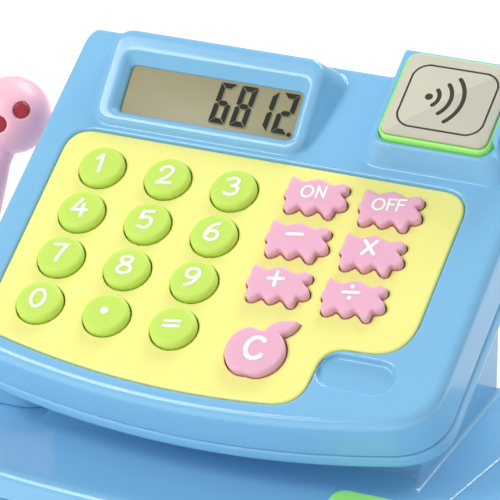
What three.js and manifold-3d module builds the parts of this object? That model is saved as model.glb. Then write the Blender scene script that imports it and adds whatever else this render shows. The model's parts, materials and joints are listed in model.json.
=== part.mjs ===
// Toy cash register: a wide base with a money drawer, a tilted calculator console on a neck,
// a press pad, a card slot and a handheld scanner in its holder.
// Millimetres. +X right, +Y back, +Z up. The origin is on the table, under the centre of the box.
import * as THREE from 'three';
import { mergeVertices } from 'three/addons/utils/BufferGeometryUtils.js';
import Module from 'manifold-3d';

const wasm = await Module();
wasm.setup();

// ---------------------------------------------------------------- driving dimensions
const GAP = 0.35;                 // clearance between neighbouring mouldings
const WALL = 2.4;                 // wall of the blue mouldings

const BASE = { half: 132, back: 51.6, apex: -64.8, corner: -43.5, floor: 2.3, split: 6, top: 52 };
const BASE_SCREW_X = 126.4;
const DOOR_SCREW = { x: 102.3, y: 38 };
const FOOT = { r: 4.6, x: 125.6, front: -28, back: 41 };
const NECK = { left: -54, right: 67, front: -19.8, back: 46.2, fillet: 7.5 };
const DRAWER = { half: 69, bottom: 9.7, top: 38, back: 40, wall: 2, opening: 75, face: 3.2 };
const LATCH = { y: -42, button: 58.5, pivot: 66, hook: 71.7, z: 45.2 };
const BATTERY = { r: 7.1, length: 50, z: 12.2, y: 2, x: [93.8, 110.8] };

const TILT = 30.07 * Math.PI / 180;          // console tilt; its frame is u right, v up the slope, w out
const CONSOLE_AT = new THREE.Vector3(-30.5, 1.2, 110);   // centre of the "5" key on the panel face
const CENTRE = 30.5;                         // u of the console's middle line
const SHELL = { half: 78, apex: -60.9, corner: -50.1, slope: 69, top: 0.3, split: -15, bottom: -20.3 };
const BACK_PLANE = 64.45;
const BACK_WALL = 1.8;                     // upright back face of the console
const HOOD = { x: -1.2, y: 3.2, width: 71, height: 31.4, corner: 6, spread: 0.5, front: 1.5, rear: 5.1 };
const LCD = { u: 4.3, v: 45.4, w: 5.9, tilt: 17.2 * Math.PI / 180, width: 57.6, height: 15.8 };
const FUNNEL = { depth: 2.8, width: 64, height: 24.4, x: -0.6, y: 2.4 };   // surround of the display
const REAR_SLOPE = 56 * Math.PI / 180;     // how steeply the console falls away at its top rear edge
const PAD = { u: 79.55, v: 56.6, width: 35.9, height: 33, top: 10, rim: 8 };
const TOWER = { left: 98.6, right: 108.6, front: 40, rear: 72, top: 15, slot: 104, slotWidth: 5.2 };
const CAPSULE = { u: 81.2, v: -38, width: 24, height: 11.6, depth: 2 };

const KEY = { r: 7.2, top: 2.3, bottom: -3.6, flange: 0.7, hole: 0.4 };
const COLUMNS = [-22, 0, 22];
const ROWS = [17.27, 0, -17.27, -34.53];
const FUNCTION_COLUMNS = [47.45, 71.45];
const FUNCTION_ROWS = [20.6, 3.9, -12.8];
const CLEAR_KEY = [49.4, -37.4];
const SCREW_U = [0, 60];
const SCREW_V = 10;

// The scanner leans back and to the right; its own frame is x right, -y out of its face, z up the handle.
const SCANNER = { head: 62, r: 12.4, wall: 1.8 };
const LEAN_RIGHT = 16 * Math.PI / 180;
const LEAN_BACK = 26 * Math.PI / 180;
const FACE_AZIMUTH = 14 * Math.PI / 180;
const HEAD_AT = new THREE.Vector3(-99.5, 48.8, 116);

const BLUE = 0x9dcff0;
const YELLOW = 0xfcf59a;
const GREEN = 0xc8ee6c;
const PINK = 0xf0bcd2;
const STEEL = 0xb8b8b8;

// ---------------------------------------------------------------- solids
function toSolid(geometry) {
  const plain = geometry.index ? geometry : geometry.clone();
  plain.deleteAttribute('normal');
  plain.deleteAttribute('uv');
  const merged = mergeVertices(plain, 1e-4);
  return new wasm.Manifold(new wasm.Mesh({
    numProp: 3,
    vertProperties: new Float32Array(merged.attributes.position.array),
    triVerts: new Uint32Array(merged.index.array),
  }));
}

function toGeometry(solid) {
  const mesh = solid.getMesh();
  const geometry = new THREE.BufferGeometry();
  geometry.setAttribute('position', new THREE.BufferAttribute(mesh.vertProperties, 3));
  geometry.setIndex(new THREE.BufferAttribute(mesh.triVerts, 1));
  geometry.computeVertexNormals();
  return geometry;
}

function join(...solids) {
  return solids.reduce((sum, next) => sum.add(next));
}

function cut(solid, ...tools) {
  return tools.reduce((rest, tool) => rest.subtract(tool), solid);
}

function boxGeometry(x0, x1, y0, y1, z0, z1) {
  const geometry = new THREE.BoxGeometry(x1 - x0, y1 - y0, z1 - z0);
  return geometry.translate((x0 + x1) / 2, (y0 + y1) / 2, (z0 + z1) / 2);
}

function box(...limits) {
  return toSolid(boxGeometry(...limits));
}

// A straight prism of a shape between two heights.
function prismGeometry(shape, z0, z1, curveSegments = 6) {
  const geometry = new THREE.ExtrudeGeometry(shape, { depth: z1 - z0, bevelEnabled: false, curveSegments });
  return geometry.translate(0, 0, z0);
}

function prism(...args) {
  return toSolid(prismGeometry(...args));
}

// A prism whose top edge is rounded.
function domedPrism(shape, z0, z1, round, curveSegments = 6, bevelSegments = 3) {
  const geometry = new THREE.ExtrudeGeometry(shape, {
    depth: z1 - z0, bevelEnabled: true, bevelThickness: round, bevelSize: round,
    bevelOffset: -round, bevelSegments, curveSegments,
  });
  geometry.translate(0, 0, z0 - round);
  return toSolid(geometry).intersect(box(-400, 400, -400, 400, z0, z1 + 1));
}

// A surface of revolution about Z from [radius, height] points.
function turned(profile, segments = 24) {
  const points = profile.map(([r, z]) => new THREE.Vector2(r, z));
  const geometry = new THREE.LatheGeometry(points, segments);
  return geometry.rotateX(Math.PI / 2);
}

function rod(r, z0, z1, segments = 20) {
  const geometry = new THREE.CylinderGeometry(r, r, z1 - z0, segments);
  return geometry.rotateX(Math.PI / 2).translate(0, 0, (z0 + z1) / 2);
}

// A rod along Y.
function crossRod(r, x, y0, y1, z, segments = 16) {
  const geometry = new THREE.CylinderGeometry(r, r, y1 - y0, segments);
  return toSolid(geometry.translate(x, (y0 + y1) / 2, z));
}

// A coil spring along Z.
function coil(radius, wire, z0, z1, turns, stepsPerTurn = 10) {
  class Helix extends THREE.Curve {
    getPoint(t) {
      const angle = 2 * Math.PI * turns * t;
      return new THREE.Vector3(radius * Math.cos(angle), radius * Math.sin(angle),
        z0 + wire + (z1 - z0 - 2 * wire) * t);
    }
  }
  const section = new THREE.Shape().absarc(0, 0, wire, 0, 2 * Math.PI);
  return new THREE.ExtrudeGeometry(section, {
    steps: Math.round(turns * stepsPerTurn), extrudePath: new Helix(), curveSegments: 3,
  });
}

// ---------------------------------------------------------------- outlines
function roundedRectangle(cx, cy, width, height, r) {
  const x = width / 2;
  const y = height / 2;
  const shape = new THREE.Shape();
  shape.absarc(cx + x - r, cy + y - r, r, 0, Math.PI / 2);
  shape.absarc(cx - x + r, cy + y - r, r, Math.PI / 2, Math.PI);
  shape.absarc(cx - x + r, cy - y + r, r, Math.PI, 1.5 * Math.PI);
  shape.absarc(cx + x - r, cy - y + r, r, 1.5 * Math.PI, 2 * Math.PI);
  shape.closePath();
  return shape;
}

// The plan of a moulding with a straight back and a front that bows towards the customer.
function bowed(centre, { half, back, corner, apex, front = 14, rear = 10 }, inset = 0) {
  const x = half - inset;
  const y0 = apex + inset;
  const side = corner + inset;
  const start = x - front;
  const bow = y0 + (side - y0) * (start / x) ** 2;
  const y1 = back - inset;
  const shape = new THREE.Shape();
  shape.moveTo(centre - x, side + front);
  shape.quadraticCurveTo(centre - x, side, centre - start, bow);
  shape.quadraticCurveTo(centre, 2 * y0 - bow, centre + start, bow);
  shape.quadraticCurveTo(centre + x, side, centre + x, side + front);
  shape.lineTo(centre + x, y1 - rear);
  shape.quadraticCurveTo(centre + x, y1, centre + x - rear, y1);
  shape.lineTo(centre - x + rear, y1);
  shape.quadraticCurveTo(centre - x, y1, centre - x, y1 - rear);
  shape.closePath();
  return shape;
}

// The same outline moved outwards by a distance.
function offset(shape, distance, divisions = 6) {
  const points = shape.getPoints(divisions);
  if (points[0].distanceTo(points.at(-1)) < 1e-6) points.pop();
  if (THREE.ShapeUtils.isClockWise(points)) points.reverse();
  const moved = points.map((point, i) => {
    const before = points.at(i - 1);
    const after = points[(i + 1) % points.length];
    const a = point.clone().sub(before).normalize();
    const b = after.clone().sub(point).normalize();
    const normal = new THREE.Vector2(a.y + b.y, -a.x - b.x).normalize();
    const stretch = 1 / Math.max(0.5, Math.sqrt((1 + a.dot(b)) / 2));
    return point.clone().addScaledVector(normal, distance * stretch);
  });
  return new THREE.Shape(moved);
}

function panelOutline() {
  const shape = new THREE.Shape();
  shape.moveTo(-28.6, 31);
  shape.quadraticCurveTo(-37.6, 31, -37.6, 22);
  shape.lineTo(-37.6, -33);
  shape.quadraticCurveTo(-37.4, -46.1, -29.5, -47.9);
  shape.quadraticCurveTo(15.3, -58.6, 60, -53.2);
  shape.quadraticCurveTo(68.3, -51.7, 68.5, -43);
  shape.lineTo(68.7, -38.5);
  shape.quadraticCurveTo(69, -30.6, 77, -30.2);
  shape.lineTo(83, -29.9);
  shape.quadraticCurveTo(93.8, -29, 93.8, -16);
  shape.lineTo(93.8, 22);
  shape.quadraticCurveTo(93.8, 31, 84.8, 31);
  shape.closePath();
  return shape;
}

// Splash-shaped function key, about its own centre.
function splashOutline() {
  const tips = [
    [-8.5, 5.2], [-6.5, 4.3], [-4.4, 3.9], [-2.4, 4.9], [-0.3, 5.6], [2.2, 5.1], [4.6, 4.3], [7.6, 5.4],
    [9.5, 4.6], [9.5, 2.6], [8.1, 1.4], [10.3, -0.5], [10.8, -2.6], [9.4, -3.7], [7.8, -4.0], [7.4, -6.8],
    [5.7, -7.0], [3.8, -5.4], [2.4, -4.8], [1.2, -6.2], [-0.4, -7.0], [-2.0, -6.0], [-3.3, -5.3],
    [-4.6, -6.7], [-6.2, -7.5], [-7.7, -6.6], [-8.0, -4.6], [-8.1, -3.2], [-9.3, -1.6], [-8.9, 0.8],
    [-9.1, 3.2],
  ];
  const curve = new THREE.CatmullRomCurve3(tips.map(([x, y]) => new THREE.Vector3(x, y, 0)), true);
  return new THREE.Shape(curve.getPoints(44).slice(0, -1).map((p) => new THREE.Vector2(p.x, p.y)));
}

// Apple-shaped clear key, about its own centre: a round body with a dimple and one leaf.
function appleOutline() {
  const points = [];
  for (let i = 0; i < 24; i += 1) {
    const angle = 2 * Math.PI * i / 24;
    const dimple = Math.exp(-(((angle - Math.PI / 2) / 0.38) ** 2));
    const foot = Math.exp(-(((angle - 1.5 * Math.PI) / 0.3) ** 2));
    const r = 8.7 * (1 + 0.05 * Math.abs(Math.cos(angle)) - 0.2 * dimple - 0.07 * foot);
    points.push(new THREE.Vector2(r * Math.cos(angle), r * Math.sin(angle)));
  }
  return new THREE.Shape(points);
}

function leafOutline() {
  const shape = new THREE.Shape();
  shape.moveTo(0.2, 5.6);
  shape.quadraticCurveTo(1.0, 12.6, 9.6, 12.4);
  shape.quadraticCurveTo(9.4, 6.2, 0.2, 5.6);
  shape.closePath();
  return shape;
}

function moved(shape, u, v) {
  return new THREE.Shape(shape.getPoints(5).map((p) => new THREE.Vector2(p.x + u, p.y + v)));
}

// ---------------------------------------------------------------- scene graph
const register = new THREE.Group();
const base = new THREE.Group();
const calculator = new THREE.Group();
calculator.position.copy(CONSOLE_AT);
calculator.rotation.x = TILT;
const scanner = new THREE.Group();
register.add(base, calculator, scanner);
calculator.updateMatrix();

function place(group, name, shape, color, roughness = 0.3, metalness = 0) {
  const geometry = shape.isBufferGeometry ? shape : toGeometry(shape);
  const mesh = new THREE.Mesh(geometry, new THREE.MeshStandardMaterial({ color, roughness, metalness }));
  mesh.name = name;
  group.add(mesh);
  return mesh;
}

// A tool that is everything behind the console's upright back face, in the console's frame.
function behindBackPlane() {
  const tool = boxGeometry(-400, 400, BACK_PLANE, BACK_PLANE + 300, -200, 500);
  return toSolid(tool.applyMatrix4(calculator.matrix.clone().invert()));
}

// Widens a console prism evenly as it goes down the w axis.
function flare(solid, from, perMillimetre) {
  const geometry = toGeometry(solid);
  const position = geometry.attributes.position;
  for (let i = 0; i < position.count; i += 1) {
    const k = 1 + perMillimetre * (from - position.getZ(i));
    position.setX(i, CENTRE + (position.getX(i) - CENTRE) * k);
    position.setY(i, position.getY(i) * k);
  }
  return toSolid(geometry);
}

const consolePlan = { ...SHELL, back: 72.5, rear: 9 };

// The raised block around the display: a rounded rectangle in the display's plane, spreading downwards.
function hood(inset) {
  const floor = -3.4;
  const { x, y, width, height, corner, spread, front, rear } = HOOD;
  const outline = roundedRectangle(x, y, width - 2 * inset, height - 2 * inset, corner - inset);
  const geometry = prismGeometry(outline, -1 - inset, -inset, 3);
  const position = geometry.attributes.position;
  const lowered = [];
  for (let i = 0; i < position.count; i += 1) {
    lowered.push(position.getZ(i) < -inset - 0.5);
    position.setZ(i, -inset);
  }
  toDisplay(geometry);
  const low = LCD.v + (y - height / 2) * Math.cos(LCD.tilt);
  const high = LCD.v + (y + height / 2) * Math.cos(LCD.tilt);
  for (let i = 0; i < position.count; i += 1) {
    if (!lowered[i]) continue;
    const u = position.getX(i) - LCD.u - x;
    const v = position.getY(i);
    const k = (v - low) / (high - low);
    position.setXYZ(i, LCD.u + x + u * (1 + spread * (position.getZ(i) - floor) / (width / 2)),
      v - front + (front + rear) * k, floor);
  }
  return toSolid(geometry);
}

// A raised rectangular block on the console whose sides spread downwards.
function block(u0, u1, v0, v1, top, slope, inset = 0, floor = -3.4) {
  const half = { u: (u1 - u0) / 2 - inset, v: (v1 - v0) / 2 - inset };
  const geometry = boxGeometry(-1, 1, -1, 1, floor, top - inset);
  const position = geometry.attributes.position;
  for (let i = 0; i < position.count; i += 1) {
    const spread = slope * (top - position.getZ(i));
    position.setX(i, (u0 + u1) / 2 + position.getX(i) * (half.u + spread));
    position.setY(i, (v0 + v1) / 2 + position.getY(i) * (half.v + spread));
  }
  return toSolid(geometry);
}

function padWell() {
  return roundedRectangle(PAD.u, PAD.v, PAD.width + 2 * GAP, PAD.height + 2 * GAP, 4.3);
}

function consoleUpperShell() {
  const { top, split } = SHELL;
  const skin = flare(domedPrism(bowed(CENTRE, consolePlan), split, top, 3.2, 7), top, 0.00085)
    .subtract(rearSlope(SHELL.slope, top));
  const tower = domedPrism(roundedRectangle((TOWER.left + TOWER.right) / 2, (TOWER.front + TOWER.rear) / 2,
    TOWER.right - TOWER.left, TOWER.rear - TOWER.front, 4), -3.4, TOWER.top, 1.4, 2, 2);
  const hollow = flare(prism(bowed(CENTRE, consolePlan, WALL), split - 1, -3, 7), top, 0.00085);
  const surround = displayFunnel(1.6, 1).intersect(hood(0.3));
  const shell = cut(join(cut(join(skin, hood(0), raisedPadBlock(0), tower), hollow, hood(WALL)), surround),
    box(PAD.u - PAD.width / 2 - 1.2, TOWER.left + 0.3, 38.9, 120, -4, PAD.rim - WALL),
    prism(padWell(), -5, 20),
    displayFunnel(0, 1.2),
    box(TOWER.slot - TOWER.slotWidth / 2, TOWER.slot + TOWER.slotWidth / 2, 30, 120, 2.2, 40),
    prism(offset(panelOutline(), GAP), -1.5, 5),
    prism(offset(panelOutline(), -1.8), -5, 5),
    prism(roundedRectangle(CAPSULE.u, CAPSULE.v, CAPSULE.width, CAPSULE.height, 5.7), top - CAPSULE.depth, 5),
    behindBackPlane());
  return shell.add(backPanel(split));
}

// A tool that takes off a top rear edge, from height w at v downwards to the back.
function rearSlope(v, w) {
  return toSolid(boxGeometry(-200, 200, 0, 90, 0, 90).rotateX(-REAR_SLOPE).translate(0, v, w));
}

// The raised block around the press pad, with its top rear edge sloping away behind the pad.
function raisedPadBlock(inset) {
  return block(59.4, 100.6, 38.4, 100, PAD.rim, 0.42, inset)
    .subtract(rearSlope(PAD.v + PAD.height / 2 + 1.4 - inset, PAD.rim + 0.1));
}

// The display's sloping surround in the display's own frame, grown by a margin.
function displayFunnel(margin, top) {
  const { depth, width, height, x, y } = FUNNEL;
  const outline = roundedRectangle(0, 0, LCD.width + 2 * margin, LCD.height + 2 * margin, 1.2 + margin / 2);
  const geometry = prismGeometry(outline, -depth, top, 3);
  const position = geometry.attributes.position;
  for (let i = 0; i < position.count; i += 1) {
    if (position.getZ(i) > 0) {
      position.setX(i, x + position.getX(i) * (width + 2 * margin) / (LCD.width + 2 * margin));
      position.setY(i, y + position.getY(i) * (height + 2 * margin) / (LCD.height + 2 * margin));
    }
  }
  return toSolid(toDisplay(geometry));
}

function toDisplay(geometry) {
  return geometry.rotateX(LCD.tilt).translate(LCD.u, LCD.v, LCD.w);
}

// The upright back wall of the upper shell, following the outer silhouette from the inside.
function backPanel(bottom) {
  const { top } = SHELL;
  const sheet = boxGeometry(-400, 400, BACK_PLANE - BACK_WALL, BACK_PLANE, -200, 500);
  const plane = toSolid(sheet.applyMatrix4(calculator.matrix.clone().invert()));
  const skin = flare(prism(bowed(CENTRE, consolePlan), bottom, top - 3, 7), top, 0.00085)
    .subtract(rearSlope(SHELL.slope, top));
  const filling = join(skin, hood(0.4), raisedPadBlock(0.4));
  return plane.intersect(filling).intersect(box(-400, 400, -100, 200, bottom, 100));
}

function consoleLowerShell() {
  const { split, bottom } = SHELL;
  const plan = { ...consolePlan, half: SHELL.half + 1, apex: SHELL.apex - 0.8, corner: SHELL.corner - 0.6 };
  const down = new THREE.Matrix4().makeScale(1, 1, -1);
  const mirrored = toGeometry(domedPrism(bowed(CENTRE, plan), -split + 0.3, -bottom, 1.8, 7, 2))
    .applyMatrix4(down);
  const index = mirrored.index.array;
  for (let i = 0; i < index.length; i += 3) {
    [index[i], index[i + 1]] = [index[i + 1], index[i]];
  }
  const outer = flare(toSolid(mirrored), split, 0.0035);
  const hollow = prism(bowed(CENTRE, plan, WALL), bottom + WALL, split + 1, 7);
  const inner = hollow.subtract(toSolid(boxGeometry(-400, 400, BACK_PLANE - BACK_WALL, 400, -200, 500)
    .applyMatrix4(calculator.matrix.clone().invert())));
  const post = toSolid(rod(4.9, bottom + 1, -8).translate(PAD.u, PAD.v, 0));
  const bosses = SCREW_U.map((u) => toSolid(rod(3.6, bottom + 1, -11).translate(u, SCREW_V, 0)));
  const holes = SCREW_U.map((u) => toSolid(rod(1.6, bottom - 1, -12.2).translate(u, SCREW_V, 0)));
  return cut(join(cut(outer, inner), post, ...bosses), ...holes, behindBackPlane());
}

// ---------------------------------------------------------------- calculator
function buildCalculator() {
  place(calculator, 'console_upper_shell', consoleUpperShell(), BLUE, 0.22);
  place(calculator, 'console_lower_shell', consoleLowerShell(), BLUE, 0.22);

  const keys = [];
  const digits = [['1', '2', '3'], ['4', '5', '6'], ['7', '8', '9'], ['0', 'dot', 'equals']];
  digits.forEach((row, j) => row.forEach((name, i) => {
    keys.push({ name, u: COLUMNS[i], v: ROWS[j], kind: 'round' });
  }));
  [['on', 'off'], ['minus', 'times'], ['plus', 'divide']].forEach((row, j) => row.forEach((name, i) => {
    keys.push({ name, u: FUNCTION_COLUMNS[i], v: FUNCTION_ROWS[j], kind: 'splash' });
  }));
  keys.push({ name: 'clear', u: CLEAR_KEY[0], v: CLEAR_KEY[1], kind: 'apple' });

  const { r, top, bottom, flange, hole } = KEY;
  const roundKey = turned([
    [0, bottom], [r + flange, bottom], [r + flange, bottom + 1.1], [r, bottom + 1.1], [r, top - 1.1],
    [r - 0.4, top - 0.35], [r - 1.2, top], [0, top],
  ], 18);
  const panelHoles = [];
  keys.forEach(({ name, u, v, kind }) => {
    let body;
    if (kind === 'round') {
      body = roundKey.clone().translate(u, v, 0);
      panelHoles.push(toSolid(rod(r + hole, -4, 3, 18).translate(u, v, 0)));
    } else if (kind === 'splash') {
      const outline = moved(splashOutline(), u, v);
      body = join(domedPrism(outline, bottom + 1, top, 0.8, 6, 1),
        prism(offset(outline, 0.4), bottom, bottom + 1.1));
      panelHoles.push(prism(offset(outline, hole), -4, 3));
    } else {
      const outline = moved(appleOutline(), u, v);
      const leaf = moved(leafOutline(), u, v);
      body = join(domedPrism(outline, bottom + 1, top, 0.8, 6, 1),
        domedPrism(leaf, bottom + 1, top, 0.8, 6, 1),
        prism(offset(outline, 0.5), bottom, bottom + 1.1));
      panelHoles.push(prism(offset(outline, hole), -4, 3).add(prism(offset(leaf, hole), -4, 3)));
    }
    place(calculator, `key_${name}`, body, kind === 'round' ? GREEN : PINK, 0.4);
  });

  const panel = domedPrism(panelOutline(), -1.2, 0, 0.5, 6, 1);
  place(calculator, 'keypad_panel', cut(panel, ...panelHoles), YELLOW, 0.3);
  place(calculator, 'keypad_membrane', prism(offset(panelOutline(), -2.2, 3), -6.7, -5.5), 0xd8d8d2, 0.7);
  place(calculator, 'calculator_board', prism(offset(panelOutline(), -3, 3), -8.8, -7.2), 0x2f7a4a, 0.5);

  const glass = toDisplay(prismGeometry(roundedRectangle(0, 0.2, 61, 18.6, 1), -5.6, -3, 2));
  place(calculator, 'lcd_panel', glass, 0xa29f7f, 0.25);

  const padOutline = roundedRectangle(PAD.u, PAD.v, PAD.width, PAD.height, 4);
  const labelOutline = roundedRectangle(PAD.u, PAD.v, 33.8, 31, 2.8);
  const pad = cut(join(domedPrism(padOutline, 4, PAD.top, 0.9, 2, 2), prism(offset(padOutline, 0.9, 2), 3.6, 5)
    .intersect(box(0, 200, 0, PAD.v + PAD.height / 2 - 2, 0, 20))),
    prism(offset(labelOutline, 0.3, 2), PAD.top - 0.8, 12),
    prism(offset(padOutline, -2, 1), 3, 7.4),
    box(0, 200, PAD.v + PAD.height / 2 - 2, 120, 0, 6.2));
  const stem = toSolid(rod(4, 0, 8).translate(PAD.u, PAD.v, 0));
  place(calculator, 'tap_pad', pad.add(stem), GREEN, 0.35);
  place(calculator, 'tap_pad_label', domedPrism(labelOutline, PAD.top - 0.5, PAD.top + 0.9, 0.3, 2, 1),
    0xdcd8c8, 0.35);
  place(calculator, 'tap_pad_spring', coil(4.2, 0.55, -7.7, -0.3, 4).translate(PAD.u, PAD.v, 0),
    STEEL, 0.3, 1);

  SCREW_U.forEach((u, i) => {
    const screw = turned([[0, SHELL.bottom - 5.1], [3, SHELL.bottom - 5.1], [3, SHELL.bottom - 3.3],
      [1.45, SHELL.bottom - 3.3], [1.45, -13], [0, -12.6]], 14);
    place(calculator, `console_screw_${i + 1}`, screw.translate(u, SCREW_V, 0), STEEL, 0.3, 1);
  });
}

// ---------------------------------------------------------------- base
function aboveConsoleFloor(w) {
  const tool = boxGeometry(-400, 400, -400, 400, w, w + 400);
  return toSolid(tool.applyMatrix4(calculator.matrix));
}

// The column under the console, drawn as a side view and extruded along X.
function neck(inset) {
  const { left, right, front, back, fillet } = NECK;
  const shape = new THREE.Shape();
  if (inset) {
    shape.moveTo(front + inset, BASE.top - 6);
  } else {
    shape.moveTo(front - fillet, BASE.top - 1);
    shape.lineTo(front - fillet, BASE.top);
    shape.quadraticCurveTo(front, BASE.top, front, BASE.top + fillet);
  }
  shape.lineTo(front + inset, 160);
  shape.lineTo(back - inset, 160);
  shape.lineTo(back - inset, inset ? BASE.top - 6 : BASE.top - 1);
  shape.closePath();
  const prismAlongX = prismGeometry(shape, left + inset, right - inset, 5);
  const turn = new THREE.Matrix4().makeBasis(new THREE.Vector3(0, 1, 0), new THREE.Vector3(0, 0, 1),
    new THREE.Vector3(1, 0, 0));
  return toSolid(prismAlongX.applyMatrix4(turn)).subtract(aboveConsoleFloor(SHELL.bottom - 0.3 - inset));
}

function buildBase() {
  const plan = bowed(0, BASE);
  const { floor, split, top } = BASE;
  const { y, pivot, z } = LATCH;
  const buttonOutline = (gap) => roundedRectangle(LATCH.button, y, 24 + 2 * gap, 14 + 2 * gap, 4.5 + gap);
  const ears = [[y - 5.7, y - 3.7], [y + 3.7, y + 5.7]]
    .map(([y0, y1]) => box(pivot - 2.6, pivot + 2.6, y0, y1, 42.6, top - 1));
  const counter = counterOutline();
  const atScrews = (make) => [-1, 1].map((side) => toSolid(make().translate(BASE_SCREW_X * side, 0, 0)));
  const bosses = atScrews(() => rod(3.6, split + 0.6, top - 1, 14));
  const bossHoles = atScrews(() => rod(1.6, split, 20, 14));
  const screwWays = SCREW_U.map((u) => toSolid(rod(1.8, -40, -10).translate(u, SCREW_V, 0)
    .applyMatrix4(calculator.matrix)));
  const shell = cut(join(
    cut(domedPrism(plan, split + 0.3, top, 3, 7).add(neck(0)),
      prism(bowed(0, BASE, WALL), split - 1, top - WALL, 7), neck(WALL)),
    ...ears, ...bosses),
    prism(buttonOutline(GAP), 40, 60, 3),
    prism(offset(counter, 0.3), top - 1.3, top + 1),
    crossRod(1.12, pivot, y - 8, y + 5, z),
    ...bossHoles, ...screwWays,
    box(-DRAWER.opening, DRAWER.opening, -80, -45, 9, 43));
  place(base, 'base_shell', shell, BLUE, 0.22);
  place(base, 'counter_plate', prism(counter, top - 1.1, top - 0.1, 3), BLUE, 0.22);

  const grille = [-2, -1, 0, 1, 2].map((i) => box(-104 + 5 * i - 1.2, -104 + 5 * i + 1.2, -20, 4, 0, 7));
  const doorWay = box(83.3, 121.3, -29, 42, 0, 5);
  const bay = box(84.8, 119.8, -27.5, 31.5, 4, 19.5);
  const bayWalls = box(83, 121.6, -29.5, 33.5, 4, 21.5);
  const guides = [-1, 1].map((side) => box(70.9 * side - 1, 70.9 * side + 1, -50, 44, split - 1, 16));
  const runners = [-1, 1].map((side) => box(45 * side - 2, 45 * side + 2, -50, 44, split - 1, 9.4));
  const doorBoss = toSolid(rod(3.4, floor + 1, 12, 14).translate(DOOR_SCREW.x, DOOR_SCREW.y, 0));
  const floorPlate = cut(join(prism(plan, floor, split, 7), bayWalls, ...guides, ...runners, doorBoss),
    bay, doorWay.subtract(box(98.3, 106.3, 34, 43, 4, 6)),
    toSolid(rod(1.3, 0, 11, 12).translate(DOOR_SCREW.x, DOOR_SCREW.y, 0)), ...grille,
    ...atScrews(() => rod(3.4, 0, 4.4, 14)), ...atScrews(() => rod(1.7, 0, 8, 14)));
  place(base, 'base_floor', floorPlate, BLUE, 0.3);
  [-1, 1].forEach((side, i) => {
    const screw = turned([[0, 2.5], [3, 2.5], [3, 4.1], [1.45, 4.1], [1.45, 18], [0, 18.4]], 14);
    place(base, `base_screw_${i + 1}`, screw.translate(BASE_SCREW_X * side, 0, 0), STEEL, 0.3, 1);
  });
  const feet = [[-1, FOOT.front], [1, FOOT.front], [-1, FOOT.back], [1, FOOT.back]];
  feet.forEach(([side, fy], i) => {
    const foot = turned([[0, 0], [FOOT.r - 0.6, 0], [FOOT.r, 0.6], [FOOT.r, 2], [0, 2]], 16);
    place(base, `foot_${i + 1}`, foot.translate(FOOT.x * side, fy, 0), 0x6c7480, 0.8);
  });

  const door = cut(prism(roundedRectangle(DOOR_SCREW.x, 6.5, 37.3, 70.3, 1.5), floor, floor + 1.6, 3),
    toSolid(rod(1.5, 0, 5, 12).translate(DOOR_SCREW.x, DOOR_SCREW.y, 0)));
  place(base, 'battery_door', door, BLUE, 0.3);
  const doorScrew = turned([[0, 0.9], [2.6, 0.9], [2.6, 2], [1.2, 2], [1.2, 9.5], [0, 9.9]], 14);
  place(base, 'battery_door_screw', doorScrew.translate(DOOR_SCREW.x, DOOR_SCREW.y, 0), STEEL, 0.3, 1);
  BATTERY.x.forEach((x, i) => {
    const half = BATTERY.length / 2;
    const cell = turned([[0, -half], [BATTERY.r, -half], [BATTERY.r, half - 1.5], [2.7, half - 1.5],
      [2.7, half], [0, half]], 18).rotateX(i ? Math.PI / 2 : -Math.PI / 2);
    place(base, `battery_${i + 1}`, cell.translate(x, BATTERY.y, BATTERY.z), 0x4a4a4e, 0.35, 0.6);
  });
  const contact = box(85.8, 118.8, 30.6, 31.1, 6, 18);
  place(base, 'battery_contact_rear', contact, 0xc9c9c4, 0.3, 1);
  const bumps = BATTERY.x.map((x) => toSolid(turned([[0, 0], [3.6, 0], [2, 2.4], [0, 2.4]], 12)
    .rotateX(-Math.PI / 2).translate(x, -26.8, BATTERY.z)));
  place(base, 'battery_contact_front', join(box(85.8, 118.8, -27.2, -26.6, 6, 18), ...bumps),
    0xc9c9c4, 0.3, 1);

  const speaker = turned([[0, 6.4], [15.5, 6.4], [18, 7.2], [18, 9], [9.5, 13], [9.5, 18], [0, 18]], 24);
  place(base, 'speaker', speaker.translate(-104, -8, 0), 0x3a3a3e, 0.6);
  place(base, 'sound_board', box(-124, -84, 16, 42, 6.6, 8.2), 0x2f7a4a, 0.5);

  buildLatch(buttonOutline);
  buildDrawer(plan);
  buildHolder();
}

function counterOutline() {
  const shape = new THREE.Shape();
  shape.moveTo(80, -36);
  shape.lineTo(114, -36);
  shape.quadraticCurveTo(122, -36, 122, -28);
  shape.lineTo(122, 34);
  shape.quadraticCurveTo(122, 42, 114, 42);
  shape.lineTo(93, 42);
  shape.quadraticCurveTo(89.1, 42, 88.5, 38);
  shape.lineTo(78, -32);
  shape.quadraticCurveTo(77.5, -36, 80, -36);
  shape.closePath();
  return shape;
}

function buildLatch(buttonOutline) {
  const { y, button, pivot, hook, z } = LATCH;
  const cap = domedPrism(buttonOutline(0), 50, 55, 1.2, 3, 2);
  const stem = toSolid(rod(1.4, 46.7, 51, 14).translate(button - 1, y, 0));
  place(base, 'release_button', cap.add(stem), GREEN, 0.35);
  const lever = cut(join(
    box(button - 3.4, hook + 1.2, y - 2.5, y + 2.5, z - 1.2, z + 1.2),
    box(hook - 1.2, hook + 1.2, y - 2.5, y + 2.5, 34.4, z),
    crossRod(2.3, pivot, y - 2.9, y + 0.9, z)),
    crossRod(1.12, pivot, y - 10, y + 10, z));
  place(base, 'latch_lever', lever, 0xe8e8e4, 0.5);
  place(base, 'latch_pin', crossRod(1, pivot, y - 5.7, y + 4.9, z), STEEL, 0.3, 1);
}

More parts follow.
